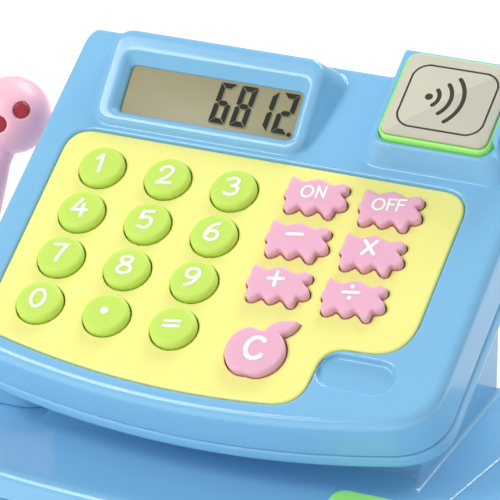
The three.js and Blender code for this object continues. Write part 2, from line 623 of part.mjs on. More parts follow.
function buildDrawer(plan) {
  const { half, bottom, top, back, wall, opening, face } = DRAWER;
  const panelLimits = box(-opening + 0.4, opening - 0.4, -80, -45, 9.4, 42.6);
  const shell = prism(plan, 9, 43, 7).subtract(prism(bowed(0, BASE, face), 8, 44, 7));
  place(base, 'drawer_front', shell.intersect(panelLimits).subtract(fingerNotch()), BLUE, 0.22);

  const inside = prism(bowed(0, BASE, face + 0.3), bottom, top, 7);
  const body = inside.intersect(box(-half, half, -80, back, bottom, top));
  const lug = box(half - 1, half + 4.2, LATCH.y + 3.6, LATCH.y + 6.8, 28, 34);
  const stops = [-1, 1].map((side) => box(Math.min((half - 1) * side, (half + 7.5) * side),
    Math.max((half - 1) * side, (half + 7.5) * side), 34, 38, 20, 27));
  const floorZ = bottom + 2;
  const pocketTool = [];
  const inner = half - wall;
  for (let i = 0; i < 3; i += 1) {
    const width = (2 * inner - 2 * wall) / 3;
    const x0 = -inner + i * (width + wall);
    pocketTool.push(box(x0, x0 + width, -17, back - wall, floorZ, 60));
  }
  const frontLimit = prism(bowed(0, BASE, face + 0.3 + wall), bottom, 60, 7);
  for (let i = 0; i < 4; i += 1) {
    const width = (2 * inner - 3 * wall) / 4;
    const x0 = -inner + i * (width + wall);
    pocketTool.push(box(x0, x0 + width, -80, -19, floorZ, 60).intersect(frontLimit));
  }
  place(base, 'drawer_tray', cut(join(body, lug, ...stops), ...pocketTool), 0xbfe0f4, 0.3);
  place(base, 'drawer_spring', coil(5, 0.7, 0, 8, 4).rotateX(-Math.PI / 2).translate(0, back + 0.6, 24),
    STEEL, 0.3, 1);
}

// A round-cornered notch in the drawer front's top edge for the fingers.
function fingerNotch() {
  const geometry = prismGeometry(roundedRectangle(0, -44, 46, 20, 6), -90, -40, 4);
  return toSolid(geometry.rotateX(-Math.PI / 2));
}

// ---------------------------------------------------------------- scanner and its holder
const axis = new THREE.Vector3(Math.tan(LEAN_RIGHT), Math.tan(LEAN_BACK), 1).normalize();
const facing = new THREE.Vector3(Math.sin(FACE_AZIMUTH), -Math.cos(FACE_AZIMUTH), 0);
facing.addScaledVector(axis, -facing.dot(axis)).normalize();
const across = new THREE.Vector3().crossVectors(axis, facing).normalize();
const butt = HEAD_AT.clone().addScaledVector(axis, -SCANNER.head);
scanner.matrix.makeBasis(across, facing.clone().negate(), axis).setPosition(butt);
scanner.matrix.decompose(scanner.position, scanner.quaternion, scanner.scale);

function scannerProfile(inset) {
  const { head, r } = SCANNER;
  const waist = 5.6 - inset;
  const start = Math.asin(waist / (r - inset));
  const profile = [[0, inset], [9.2 - inset, inset], [10.4 - inset, 1.6 + inset * 0.6], [10.4 - inset, 14],
    [9.3 - inset, 28], [7.2 - inset, 40], [waist, 47]];
  const rings = inset ? 4 : 7;
  for (let i = 0; i <= rings; i += 1) {
    const angle = Math.PI - start - (Math.PI - start) * i / rings;
    profile.push([Math.max(0, (r - inset) * Math.sin(angle)), head + (r - inset) * Math.cos(angle)]);
  }
  profile[profile.length - 1][0] = 0;
  return profile;
}

function windowPlaces() {
  return [-1, 1].map((side) => [2.44 * side, SCANNER.head + 3.46 * side]);
}

function buildScanner() {
  const outer = toSolid(turned(scannerProfile(0), 22));
  const hollow = toSolid(turned(scannerProfile(SCANNER.wall), 12));
  const shell = outer.subtract(hollow);
  const windows = windowPlaces();
  const holes = windows.map(([x, z]) => crossRod(2.75, x, -20, -4, z, 16));
  const triggerHole = toSolid(prismGeometry(roundedRectangle(0, 32, 7.4, 11.4, 3.5), 2, 14, 2)
    .rotateX(Math.PI / 2));
  place(scanner, 'scanner_front_shell',
    cut(shell.intersect(box(-30, 30, -30, -0.15, -10, 90)), ...holes, triggerHole), PINK, 0.35);
  place(scanner, 'scanner_rear_shell', shell.intersect(box(-30, 30, 0.15, 30, -10, 90)), PINK, 0.35);
  windows.forEach(([x, z], i) => {
    const lens = turned([[0, 0], [2.5, 0], [2.5, 3.1], [1.6, 3.5], [0, 3.7]], 16).rotateX(Math.PI / 2);
    place(scanner, `scanner_window_${i + 1}`, lens.translate(x, -8, z), 0xa8303c, 0.2);
  });
  const trigger = domedPrism(roundedRectangle(0, 32, 6.7, 10.7, 3.2), 4, 11, 0.8, 2, 1);
  place(scanner, 'scanner_trigger', toGeometry(trigger).rotateX(Math.PI / 2), GREEN, 0.35);
}

function buildHolder() {
  const { top } = BASE;
  const toPart = scanner.matrix;
  const collar = toSolid(rod(13.2, -7, 15, 22).applyMatrix4(toPart));
  const bore = toSolid(rod(11, -0.4, 40, 22).applyMatrix4(toPart));
  const plinth = domedPrism(roundedRectangle(-90.5, 11.5, 70, 67, 8), top + 0.3, top + 10, 2.5, 2, 2);
  const pod = cut(join(plinth, collar), bore, box(-200, 0, -100, 100, 0, top + 0.3));
  place(base, 'scanner_holder', pod, BLUE, 0.22);
}

buildCalculator();
buildBase();
buildScanner();

export default register;
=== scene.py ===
import bpy
import json
import math
import numpy as np
from mathutils import Matrix, Vector


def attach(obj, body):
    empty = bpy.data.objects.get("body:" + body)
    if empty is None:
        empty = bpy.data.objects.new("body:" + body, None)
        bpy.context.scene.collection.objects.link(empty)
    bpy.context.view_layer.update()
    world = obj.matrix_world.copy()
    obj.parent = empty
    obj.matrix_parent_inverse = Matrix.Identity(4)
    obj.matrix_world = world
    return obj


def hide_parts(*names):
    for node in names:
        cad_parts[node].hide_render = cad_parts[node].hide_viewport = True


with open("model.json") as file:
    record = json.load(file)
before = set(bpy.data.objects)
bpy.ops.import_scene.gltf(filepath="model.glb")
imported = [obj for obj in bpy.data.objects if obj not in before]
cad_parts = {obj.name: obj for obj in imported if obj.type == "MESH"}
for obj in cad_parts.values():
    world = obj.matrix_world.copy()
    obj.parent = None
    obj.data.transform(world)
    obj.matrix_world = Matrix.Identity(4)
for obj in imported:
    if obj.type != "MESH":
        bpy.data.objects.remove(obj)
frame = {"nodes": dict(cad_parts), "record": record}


def write_size():
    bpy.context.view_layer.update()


write_size()
scene = bpy.context.scene
MM = 0.001

# ---------------------------------------------------------------- sizes, in millimetres
WALL = 2.4
GAP = 0.35
BASE = dict(half=132, back=51.6, apex=-64.8, corner=-43.5)
BASE_SPLIT, BASE_TOP = 6.3, 52
BASE_SCREW_X = 126.4
BUTTON_X, LATCH_Y = 58.5, -42
PIVOT_X, PIVOT_Z = 66, 45.2
DRAWER_OPENING = 75
NECK = dict(left=-54, right=67, front=-19.8, back=46.2, fillet=7.5)
TILT = math.radians(30.07)
CONSOLE_AT = Vector((-30.5, 1.2, 110))          # the middle of the "5" key; the frame is u right, v up, w out
CONSOLE = Matrix.Translation(CONSOLE_AT * MM) @ Matrix.Rotation(TILT, 4, "X")
TO_CONSOLE_MM = (Matrix.Translation(CONSOLE_AT) @ Matrix.Rotation(TILT, 4, "X")).inverted()
CENTRE = 30.5
SHELL = dict(half=78, back=72.5, rear=9, apex=-60.9, corner=-50.1)
SHELL_REAR = 69
TOP, SPLIT, BOTTOM = 0.3, -15, -20.3
UPPER_FLARE, LOWER_FLARE = 0.00085, 0.0035
BACK_PLANE, BACK_WALL = 64.45, 1.8
BLOCK_FOOT = -3.4                               # where the raised blocks start, below the console's face
HOOD = dict(x=-1.2, y=3.2, width=71, height=31.4, corner=6, spread=0.5, front=1.5, rear=5.1)
LCD = dict(u=4.3, v=45.4, w=5.9, tilt=math.radians(17.2), width=57.6, height=15.8)
LCD_AT = Vector((LCD["u"], LCD["v"], LCD["w"]))
DISPLAY_MM = Matrix.Translation(LCD_AT) @ Matrix.Rotation(LCD["tilt"], 4, "X")
FUNNEL = dict(depth=2.8, width=64, height=24.4, x=-0.6, y=2.4)
REAR_SLOPE = math.radians(56)
PAD = dict(u=79.55, v=56.6, width=35.9, height=33, top=10, rim=8)
LABEL_WIDTH, LABEL_HEIGHT = 33.8, 31
TOWER = dict(left=98.6, right=108.6, front=40, rear=72, top=15, slot=104, slot_width=5.2)
CAPSULE = dict(u=81.2, v=-38, width=24, height=11.6, depth=2)
KEY_R, KEY_TOP, KEY_BOTTOM = 7.2, 2.3, -3.6
KEY_HOLE = 0.4                                  # clearance round each key
COLUMNS = (-22, 0, 22)
ROWS = (17.27, 0, -17.27, -34.53)
FUNCTION_COLUMNS = (47.45, 71.45)
FUNCTION_ROWS = (20.6, 3.9, -12.8)
CLEAR_KEY = (49.4, -37.4)
SCREW_U, SCREW_V = (0, 60), 10
HEAD, HEAD_R, HEAD_WALL = 62, 12.4, 1.8


# ---------------------------------------------------------------- mesh data: (vertices in mm, faces)
def outline_turn(points):
    """The outline, turning anticlockwise."""
    area = sum(a[0] * b[1] - b[0] * a[1] for a, b in zip(points, points[1:] + points[:1]))
    return points if area > 0 else points[::-1]


def inset(points, distance):
    """The outline moved inwards, each point along the bisector of its two edges."""
    if abs(distance) < 1e-9:
        return list(points)
    p = np.array(points, float)
    a = p - np.roll(p, 1, 0)
    b = np.roll(p, -1, 0) - p
    a /= np.linalg.norm(a, axis=1)[:, None]
    b /= np.linalg.norm(b, axis=1)[:, None]
    normal = np.stack([a[:, 1] + b[:, 1], -a[:, 0] - b[:, 0]], 1)
    normal /= np.linalg.norm(normal, axis=1)[:, None]
    stretch = 1 / np.maximum(0.6, np.sqrt((1 + (a * b).sum(1)) / 2))
    return [tuple(q) for q in p - normal * (stretch * distance)[:, None]]


def loft(rings):
    """A closed solid through rings of (x, y, z) points, all with the same count, bottom to top."""
    n = len(rings[0])
    verts = [tuple(p) for ring in rings for p in ring]
    faces = [list(range(n))[::-1]]
    for k in range(len(rings) - 1):
        for i in range(n):
            j = (i + 1) % n
            faces.append([k * n + i, k * n + j, (k + 1) * n + j, (k + 1) * n + i])
    faces.append([(len(rings) - 1) * n + i for i in range(n)])
    return verts, faces


def at_height(points, z):
    return [(x, y, z) for x, y in points]


def prism(points, z0, z1):
    points = outline_turn(list(points))
    return loft([at_height(points, z0), at_height(points, z1)])


def domed(points, z0, z1, radius, steps=8, low=0.0):
    """A prism with a rounded top edge, and a rounded bottom edge where low is given."""
    points = outline_turn(list(points))
    rings = []
    if low:
        for k in range(steps + 1):
            a = math.pi / 2 * k / steps
            rings.append(at_height(inset(points, low * (1 - math.sin(a))), z0 + low * (1 - math.cos(a))))
    else:
        rings.append(at_height(points, z0))
    for k in range(steps + 1):
        a = math.pi / 2 * k / steps
        rings.append(at_height(inset(points, radius * (1 - math.cos(a))), z1 - radius * (1 - math.sin(a))))
    return loft(rings)


def box(x0, x1, y0, y1, z0, z1):
    return prism([(x0, y0), (x1, y0), (x1, y1), (x0, y1)], z0, z1)


def lathe(profile, segments=64):
    """A solid of revolution about Z from (radius, height) points that start and end on the axis."""
    inner = profile[1:-1]
    verts = [(0, 0, profile[0][1])]
    for r, z in inner:
        verts += [(r * math.cos(2 * math.pi * i / segments), r * math.sin(2 * math.pi * i / segments), z)
                  for i in range(segments)]
    verts.append((0, 0, profile[-1][1]))
    faces = []
    for i in range(segments):
        j = (i + 1) % segments
        faces.append([0, 1 + j, 1 + i])
        for k in range(len(inner) - 1):
            a, b = 1 + k * segments, 1 + (k + 1) * segments
            faces.append([a + i, a + j, b + j, b + i])
        last = 1 + (len(inner) - 1) * segments
        faces.append([last + i, last + j, len(verts) - 1])
    return verts, faces


def rod(radius, z0, z1, segments=48):
    return lathe([(0, z0), (radius, z0), (radius, z1), (0, z1)], segments)


def moved(data, matrix):
    """Mesh data through a matrix whose translation is in millimetres."""
    verts, faces = data
    return [tuple(matrix @ Vector(v)) for v in verts], faces


def shifted(data, x=0, y=0, z=0):
    return moved(data, Matrix.Translation((x, y, z)))


def cross_rod(radius, x, y0, y1, z, segments=32):
    """A rod along Y."""
    place = Matrix.Translation((x, 0, z)) @ Matrix.Rotation(-math.pi / 2, 4, "X")
    return moved(rod(radius, y0, y1, segments), place)


def rounded(radius_points, radius, top, steps=6):
    """Rounds the last corner of a lathe profile, which ends on the axis at height top."""
    r = radius_points[-1][0]
    curve = []
    for k in range(steps + 1):
        a = math.pi / 2 * k / steps
        curve.append((r - radius * (1 - math.cos(a)), top - radius * (1 - math.sin(a))))
    return radius_points + curve + [(0, top)]


# ---------------------------------------------------------------- outlines
def quadratic(p0, p1, p2, n):
    """A quadratic curve after its first point."""
    return [tuple((1 - t) ** 2 * np.array(p0) + 2 * t * (1 - t) * np.array(p1) + t * t * np.array(p2))
            for t in (k / n for k in range(1, n + 1))]


def rounded_rectangle(cx, cy, width, height, r, n=10):
    points = []
    for sx, sy, start in ((1, 1, 0), (-1, 1, 90), (-1, -1, 180), (1, -1, 270)):
        for k in range(n + 1):
            a = math.radians(start + 90 * k / n)
            points.append((cx + sx * (width / 2 - r) + r * math.cos(a),
                           cy + sy * (height / 2 - r) + r * math.sin(a)))
    return points


def bowed(centre, plan, shrink=0.0, front=14, n=24):
    """The plan of a moulding with a straight back and a front that bows out."""
    x = plan["half"] - shrink
    y0 = plan["apex"] + shrink
    side = plan["corner"] + shrink
    start = x - front
    bow = y0 + (side - y0) * (start / x) ** 2
    y1 = plan["back"] - shrink
    rear = plan.get("rear", 10)
    points = [(centre - x, side + front)]
    points += quadratic(points[-1], (centre - x, side), (centre - start, bow), n)
    points += quadratic(points[-1], (centre, 2 * y0 - bow), (centre + start, bow), 3 * n)
    points += quadratic(points[-1], (centre + x, side), (centre + x, side + front), n)
    points.append((centre + x, y1 - rear))
    points += quadratic(points[-1], (centre + x, y1), (centre + x - rear, y1), n)
    points.append((centre - x + rear, y1))
    points += quadratic(points[-1], (centre - x, y1), (centre - x, y1 - rear), n)
    return points


def smooth_curve(points, spacing, closed=False):
    """Catmull-Rom curve through the points, at about the given spacing."""
    p = [np.array(q, float) for q in points]
    count = len(p)
    out = []
    for i in range(count if closed else count - 1):
        def at(k):
            return p[k % count] if closed else p[min(max(k, 0), count - 1)]
        a, b, c, d = at(i - 1), at(i), at(i + 1), at(i + 2)
        steps = max(2, int(round(np.linalg.norm(c - b) / spacing)))
        for k in range(steps):
            t = k / steps
            out.append(tuple(0.5 * (2 * b + (c - a) * t + (2 * a - 5 * b + 4 * c - d) * t * t
                                    + (3 * b - 3 * c + d - a) * t ** 3)))
    if not closed:
        out.append(tuple(p[-1]))
    return out


def panel_outline(n=20):
    """The yellow keypad panel, cut away round the capsule recess."""
    points = [(-28.6, 31)]
    points += quadratic(points[-1], (-37.6, 31), (-37.6, 22), n)
    points.append((-37.6, -33))
    points += quadratic(points[-1], (-37.4, -46.1), (-29.5, -47.9), n)
    points += quadratic(points[-1], (15.3, -58.6), (60, -53.2), 2 * n)
    points += quadratic(points[-1], (68.3, -51.7), (68.5, -43), n)
    points.append((68.7, -38.5))
    points += quadratic(points[-1], (69, -30.6), (77, -30.2), n)
    points.append((83, -29.9))
    points += quadratic(points[-1], (93.8, -29), (93.8, -16), n)
    points.append((93.8, 22))
    points += quadratic(points[-1], (93.8, 31), (84.8, 31), n)
    return points


# The tips and dips of a splash-shaped key.
SPLASH = [
    (-8.5, 5.2), (-6.5, 4.3), (-4.4, 3.9), (-2.4, 4.9), (-0.3, 5.6), (2.2, 5.1), (4.6, 4.3), (7.6, 5.4),
    (9.5, 4.6), (9.5, 2.6), (8.1, 1.4), (10.3, -0.5), (10.8, -2.6), (9.4, -3.7), (7.8, -4.0), (7.4, -6.8),
    (5.7, -7.0), (3.8, -5.4), (2.4, -4.8), (1.2, -6.2), (-0.4, -7.0), (-2.0, -6.0), (-3.3, -5.3),
    (-4.6, -6.7), (-6.2, -7.5), (-7.7, -6.6), (-8.0, -4.6), (-8.1, -3.2), (-9.3, -1.6), (-8.9, 0.8),
    (-9.1, 3.2),
]


def apple_outline():
    """A round apple with a dimple above and a shallow one below."""
    points = []
    for i in range(96):
        a = 2 * math.pi * i / 96
        dimple = math.exp(-((a - math.pi / 2) / 0.38) ** 2)
        foot = math.exp(-((a - 1.5 * math.pi) / 0.3) ** 2)
        r = 8.7 * (1 + 0.05 * abs(math.cos(a)) - 0.2 * dimple - 0.07 * foot)
        points.append((r * math.cos(a), r * math.sin(a)))
    return points


def leaf_outline():
    start, tip = (0.2, 5.6), (9.6, 12.4)
    return [start] + quadratic(start, (1.0, 12.6), tip, 14) + quadratic(tip, (9.4, 6.2), start, 14)[:-1]


def at_key(outline, u, v):
    return [(x + u, y + v) for x, y in outline]


# ---------------------------------------------------------------- objects
def to_object(name, data):
    verts, faces = data
    mesh = bpy.data.meshes.new(name)
    mesh.from_pydata([(x * MM, y * MM, z * MM) for x, y, z in verts], [], faces)
    mesh.update()
    obj = bpy.data.objects.new(name, mesh)
    scene.collection.objects.link(obj)
    return obj


def bake(obj):
    """Turns the modifiers of obj into its mesh."""
    bpy.context.view_layer.update()
    graph = bpy.context.evaluated_depsgraph_get()
    mesh = bpy.data.meshes.new_from_object(obj.evaluated_get(graph))
    obj.modifiers.clear()
    obj.data = mesh
    return obj


def combine(obj, operation, *tools):
    """Boolean of obj with each piece of mesh data in turn."""
    for data in tools:
        tool = data if isinstance(data, bpy.types.Object) else to_object("tool", data)
        modifier = obj.modifiers.new("boolean", "BOOLEAN")
        modifier.operation = operation
        modifier.solver = "MANIFOLD"
        modifier.object = tool
        bake(obj)
        bpy.data.objects.remove(tool)
    return obj


def join(obj, *tools):
    return combine(obj, "UNION", *tools)


def cut(obj, *tools):
    return combine(obj, "DIFFERENCE", *tools)


def common(obj, *tools):
    return combine(obj, "INTERSECT", *tools)


def soften(obj, voxel, rounds, factor=0.5):
    """An even fine mesh with every edge slightly rounded, as a moulding comes out of its tool."""
    remesh = obj.modifiers.new("remesh", "REMESH")
    remesh.mode = "VOXEL"
    remesh.voxel_size = voxel * MM
    remesh.use_smooth_shade = True
    smooth = obj.modifiers.new("smooth", "SMOOTH")
    smooth.factor = factor
    smooth.iterations = rounds
    bake(obj)
    for polygon in obj.data.polygons:
        polygon.use_smooth = True
    return obj


def shade(obj, angle=35):
    """Smooth shading that stays sharp across edges over an angle in degrees."""
    for polygon in obj.data.polygons:
        polygon.use_smooth = True
    obj.data.set_sharp_from_angle(angle=math.radians(angle))
    return obj


def finished(obj, material, body, replaced=(), matrix=None):
    """Gives obj its material and place, parents it to its body's empty and hides the CAD parts it replaces.
    """
    obj.data.materials.clear()
    obj.data.materials.append(material)
    if matrix is not None:
        obj.matrix_world = matrix
    bpy.context.view_layer.update()
    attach(obj, body)
    if replaced:
        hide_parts(*replaced)
    return obj


# ---------------------------------------------------------------- materials
def linear(r, g, b):
    """An 8-bit sRGB colour in scene-linear values."""
    return tuple(c / 12.92 if c <= 0.04045 else ((c + 0.055) / 1.055) ** 2.4
                 for c in (r / 255, g / 255, b / 255)) + (1.0,)


def plastic(name, color, roughness=0.3, coat=0.0, subsurface=0.0, bump=0.02, grain=900, mottle=0.03,
            metallic=0.0, specular=0.5, emission=0.0):
    """A moulded surface: an even colour with a faint mottle, uneven gloss and a fine texture."""
    material = bpy.data.materials.new(name)
    material.use_nodes = True
    nodes, links = material.node_tree.nodes, material.node_tree.links
    shader = nodes["Principled BSDF"]
    place = nodes.new("ShaderNodeTexCoord")
    broad = nodes.new("ShaderNodeTexNoise")
    broad.inputs["Scale"].default_value = 38
    broad.inputs["Detail"].default_value = 4
    fine = nodes.new("ShaderNodeTexNoise")
    fine.inputs["Scale"].default_value = grain
    fine.inputs["Detail"].default_value = 2
    links.new(place.outputs["Object"], broad.inputs["Vector"])
    links.new(place.outputs["Object"], fine.inputs["Vector"])
    tone = nodes.new("ShaderNodeMix")
    tone.data_type = "RGBA"
    base = linear(*color)
    tone.inputs["A"].default_value = tuple(c * (1 - mottle) for c in base[:3]) + (1,)
    tone.inputs["B"].default_value = tuple(min(1, c * (1 + mottle)) for c in base[:3]) + (1,)
    links.new(broad.outputs["Fac"], tone.inputs["Factor"])
    links.new(tone.outputs["Result"], shader.inputs["Base Color"])
    gloss = nodes.new("ShaderNodeMapRange")
    gloss.inputs["To Min"].default_value = roughness * 0.88
    gloss.inputs["To Max"].default_value = roughness * 1.12
    links.new(broad.outputs["Fac"], gloss.inputs["Value"])
    links.new(gloss.outputs["Result"], shader.inputs["Roughness"])
    relief = nodes.new("ShaderNodeBump")
    relief.inputs["Strength"].default_value = bump
    relief.inputs["Distance"].default_value = 0.0002
    links.new(fine.outputs["Fac"], relief.inputs["Height"])
    links.new(relief.outputs["Normal"], shader.inputs["Normal"])
    shader.inputs["Metallic"].default_value = metallic
    shader.inputs["Specular IOR Level"].default_value = specular
    shader.inputs["Coat Weight"].default_value = coat
    shader.inputs["Coat Roughness"].default_value = 0.06
    if subsurface:
        shader.inputs["Subsurface Weight"].default_value = subsurface
        shader.inputs["Subsurface Radius"].default_value = (0.003, 0.003, 0.003)
        shader.inputs["Subsurface Scale"].default_value = 1.0
    # Emission makes the surface glow in its own colour with no lamp inside it; on the blue, pink and green
    # plastics this is a painted glow that lifts their shade.
    if emission:
        shader.inputs["Emission Color"].default_value = base
        shader.inputs["Emission Strength"].default_value = emission
    return material


def label_film(name):
    """Grey film over a low four-sided pyramid, with painted shade on its facets as light would fall on them:
    the left facet lightest, the top a little darker, the bottom darker and the right darkest.
    """
    material = plastic(name, (206, 202, 184), roughness=0.3, mottle=0.02, specular=0.4)
    nodes, links = material.node_tree.nodes, material.node_tree.links
    shader = nodes["Principled BSDF"]
    tone = next(n for n in nodes if n.bl_idname == "ShaderNodeMix")
    place = next(n for n in nodes if n.bl_idname == "ShaderNodeTexCoord")
    split = nodes.new("ShaderNodeSeparateXYZ")
    links.new(place.outputs["Object"], split.inputs["Vector"])

    def number(operation, a, b):
        node = nodes.new("ShaderNodeMath")
        node.operation = operation
        for socket, value in zip(node.inputs, (a, b)):
            if isinstance(value, (int, float)):
                socket.default_value = value
            else:
                links.new(value, socket)
        return node.outputs["Value"]

    x = number("SUBTRACT", split.outputs["X"], PAD["u"] * MM)
    y = number("SUBTRACT", split.outputs["Y"], PAD["v"] * MM)
    # Painted shade: the half below one diagonal (bottom and right facets) is darkened by 0.10, and the half
    # right of the other diagonal (top and right facets) by 0.035.
    right_low = number("GREATER_THAN", number("SUBTRACT", x, y), 0.0)
    right_high = number("GREATER_THAN", number("ADD", x, y), 0.0)
    painted_facet_shade = number("ADD", number("MULTIPLY", right_low, -0.10), number("MULTIPLY", right_high, -0.035))
    factor = number("ADD", painted_facet_shade, 1.06)
    scaled = nodes.new("ShaderNodeVectorMath")
    scaled.operation = "SCALE"
    links.new(tone.outputs["Result"], scaled.inputs[0])
    links.new(factor, scaled.inputs["Scale"])
    links.new(scaled.outputs["Vector"], shader.inputs["Base Color"])
    return material


# The blue plastic's emission is a painted glow that lightens and saturates its shaded parts.
BLUE = plastic("blue_plastic", (128, 187, 225), roughness=0.17, coat=0.25, subsurface=0.1, bump=0.01,
               specular=0.4, emission=0.07)
PALE_BLUE = plastic("pale_blue_plastic", (182, 220, 244), roughness=0.32, subsurface=0.1)
YELLOW = plastic("yellow_plastic", (255, 250, 148), roughness=0.32, subsurface=0.15, bump=0.015)
KEY_GREEN = plastic("green_rubber", (203, 234, 104), roughness=0.48, subsurface=0.3, specular=0.35)
# The green plastic's emission is a painted glow that brightens it, its shaded parts too.
PLASTIC_GREEN = plastic("green_plastic", (164, 242, 122), roughness=0.3, subsurface=0.3, emission=0.12)
KEY_PINK = plastic("pink_rubber", (238, 183, 206), roughness=0.5, subsurface=0.35, specular=0.3)
# The pink plastic's emission is a painted glow that lightens its shaded parts.
PINK = plastic("pink_plastic", (250, 189, 202), roughness=0.36, subsurface=0.35, specular=0.4, emission=0.1)
RED = plastic("red_window", (176, 52, 64), roughness=0.25, subsurface=0.1)
GLASS = plastic("lcd_glass", (164, 158, 124), roughness=0.3, mottle=0.05, specular=0.25)
INK_WHITE = plastic("white_print", (252, 252, 248), roughness=0.55, mottle=0.01, specular=0.2, bump=0.05)
INK_DARK = plastic("dark_print", (66, 64, 56), roughness=0.5, mottle=0.03, specular=0.2)
SEGMENT = plastic("lcd_segment", (38, 38, 30), roughness=0.45, mottle=0.03, specular=0.15)
SEGMENT_SHADOW = plastic("lcd_segment_shadow", (134, 130, 100), roughness=0.45, mottle=0.03, specular=0.15)
LABEL = label_film("label_film")
STEEL = plastic("steel", (190, 190, 192), roughness=0.3, metallic=1.0, grain=500)
BOARD = plastic("circuit_board", (40, 110, 66), roughness=0.45)
GREY_RUBBER = plastic("membrane_rubber", (208, 208, 202), roughness=0.6)
FOOT_RUBBER = plastic("dark_rubber", (96, 104, 116), roughness=0.75, bump=0.1)
BLACK = plastic("speaker_black", (44, 44, 47), roughness=0.7, bump=0.1)
CELL = plastic("battery_case", (60, 62, 70), roughness=0.35, metallic=0.5)
NYLON = plastic("white_nylon", (228, 228, 222), roughness=0.45)
SLOTS = {
    "blue_plastic": BLUE, "pale_blue_plastic": PALE_BLUE, "yellow_plastic": YELLOW, "green_rubber": KEY_GREEN,
    "green_plastic": PLASTIC_GREEN, "pink_rubber": KEY_PINK, "pink_plastic": PINK, "red_window": RED,
    "lcd_glass": GLASS, "label_film": LABEL, "steel": STEEL, "circuit_board": BOARD,
    "membrane_rubber": GREY_RUBBER, "dark_rubber": FOOT_RUBBER, "speaker_black": BLACK,
    "battery_case": CELL, "white_nylon": NYLON,
}
for part in frame["record"]["subparts"]:
    node = frame["nodes"][part["node"]]
    node.data.materials.clear()
    node.data.materials.append(SLOTS[part["material_slot"]])


# ---------------------------------------------------------------- console shells
def behind(y, depth=300):
    """Everything behind an upright plane, in the console's frame."""
    return moved(box(-400, 400, y, y + depth, -200, 500), TO_CONSOLE_MM)


def flare(data, start, rate):
    """Console mesh data that widens evenly as it goes down from start."""
    verts, faces = data
    out = []
    for x, y, z in verts:
        k = 1 + rate * (start - z)
        out.append((CENTRE + (x - CENTRE) * k, y * k, z))
    return out, faces


def hood(shrink, edge=0.0):
    """The raised block around the display: rounded in the display's plane and spreading downwards."""
    outline = outline_turn(rounded_rectangle(HOOD["x"], HOOD["y"], HOOD["width"] - 2 * shrink,
                                             HOOD["height"] - 2 * shrink, HOOD["corner"] - shrink))

    def ring(inwards, drop):
        return [tuple(DISPLAY_MM @ Vector((x, y, -shrink - drop))) for x, y in inset(outline, inwards)]

    top = ring(0, 0)
    low, high = (LCD["v"] + (HOOD["y"] + side * HOOD["height"] / 2) * math.cos(LCD["tilt"])
                 for side in (-1, 1))
    foot = []
    for u, v, w in top:
        du = u - LCD["u"] - HOOD["x"]
        k = (v - low) / (high - low)
        widening = 1 + HOOD["spread"] * (w - BLOCK_FOOT) / (HOOD["width"] / 2)
        foot.append((LCD["u"] + HOOD["x"] + du * widening,
                     v - HOOD["front"] + (HOOD["front"] + HOOD["rear"]) * k, BLOCK_FOOT))
    if not edge:
        return loft([foot, top])
    rings = [foot]
    for k in range(7):
        a = math.pi / 2 * k / 6
        rings.append(ring(edge * (1 - math.cos(a)), edge * (1 - math.sin(a)) * 0.9))
    return loft(rings)


def rear_slope(v, w):
    """A tool that takes off a top rear edge, from height w at v downwards to the back."""
    place = Matrix.Translation((0, v, w)) @ Matrix.Rotation(-REAR_SLOPE, 4, "X")
    return moved(box(-200, 200, 0, 90, 0, 90), place)


def pad_block(shrink=0.0):
    """The raised block around the press pad, sloping away behind it."""
    u0, u1, v0, v1 = 59.4, 100.6, 38.4, 100
    rings = []
    for w in (BLOCK_FOOT, PAD["rim"] - shrink):
        grow = 0.42 * (PAD["rim"] - w) - shrink
        rings.append(at_height(rounded_rectangle((u0 + u1) / 2, (v0 + v1) / 2, u1 - u0 + 2 * grow,
                                                 v1 - v0 + 2 * grow, 5 + 0.4 * grow), w))
    block = to_object("block", loft(rings))
    return cut(block, rear_slope(PAD["v"] + PAD["height"] / 2 + 1.4 - shrink, PAD["rim"] + 0.1))


def pad_well():
    return rounded_rectangle(PAD["u"], PAD["v"], PAD["width"] + 2 * GAP, PAD["height"] + 2 * GAP, 4.3)


def display_funnel(margin, top):
    """The sloping surround of the display, grown by a margin."""
    w, h = LCD["width"] + 2 * margin, LCD["height"] + 2 * margin
    low = rounded_rectangle(0, 0, w, h, 1.2 + margin / 2)
    corner = 3.6
    high = rounded_rectangle(FUNNEL["x"], FUNNEL["y"], FUNNEL["width"] + 2 * margin,
                             FUNNEL["height"] + 2 * margin, corner)
    return moved(loft([at_height(low, -FUNNEL["depth"] - 0.6), at_height(low, -FUNNEL["depth"] + 0.5),
                       at_height(high, top)]), DISPLAY_MM)


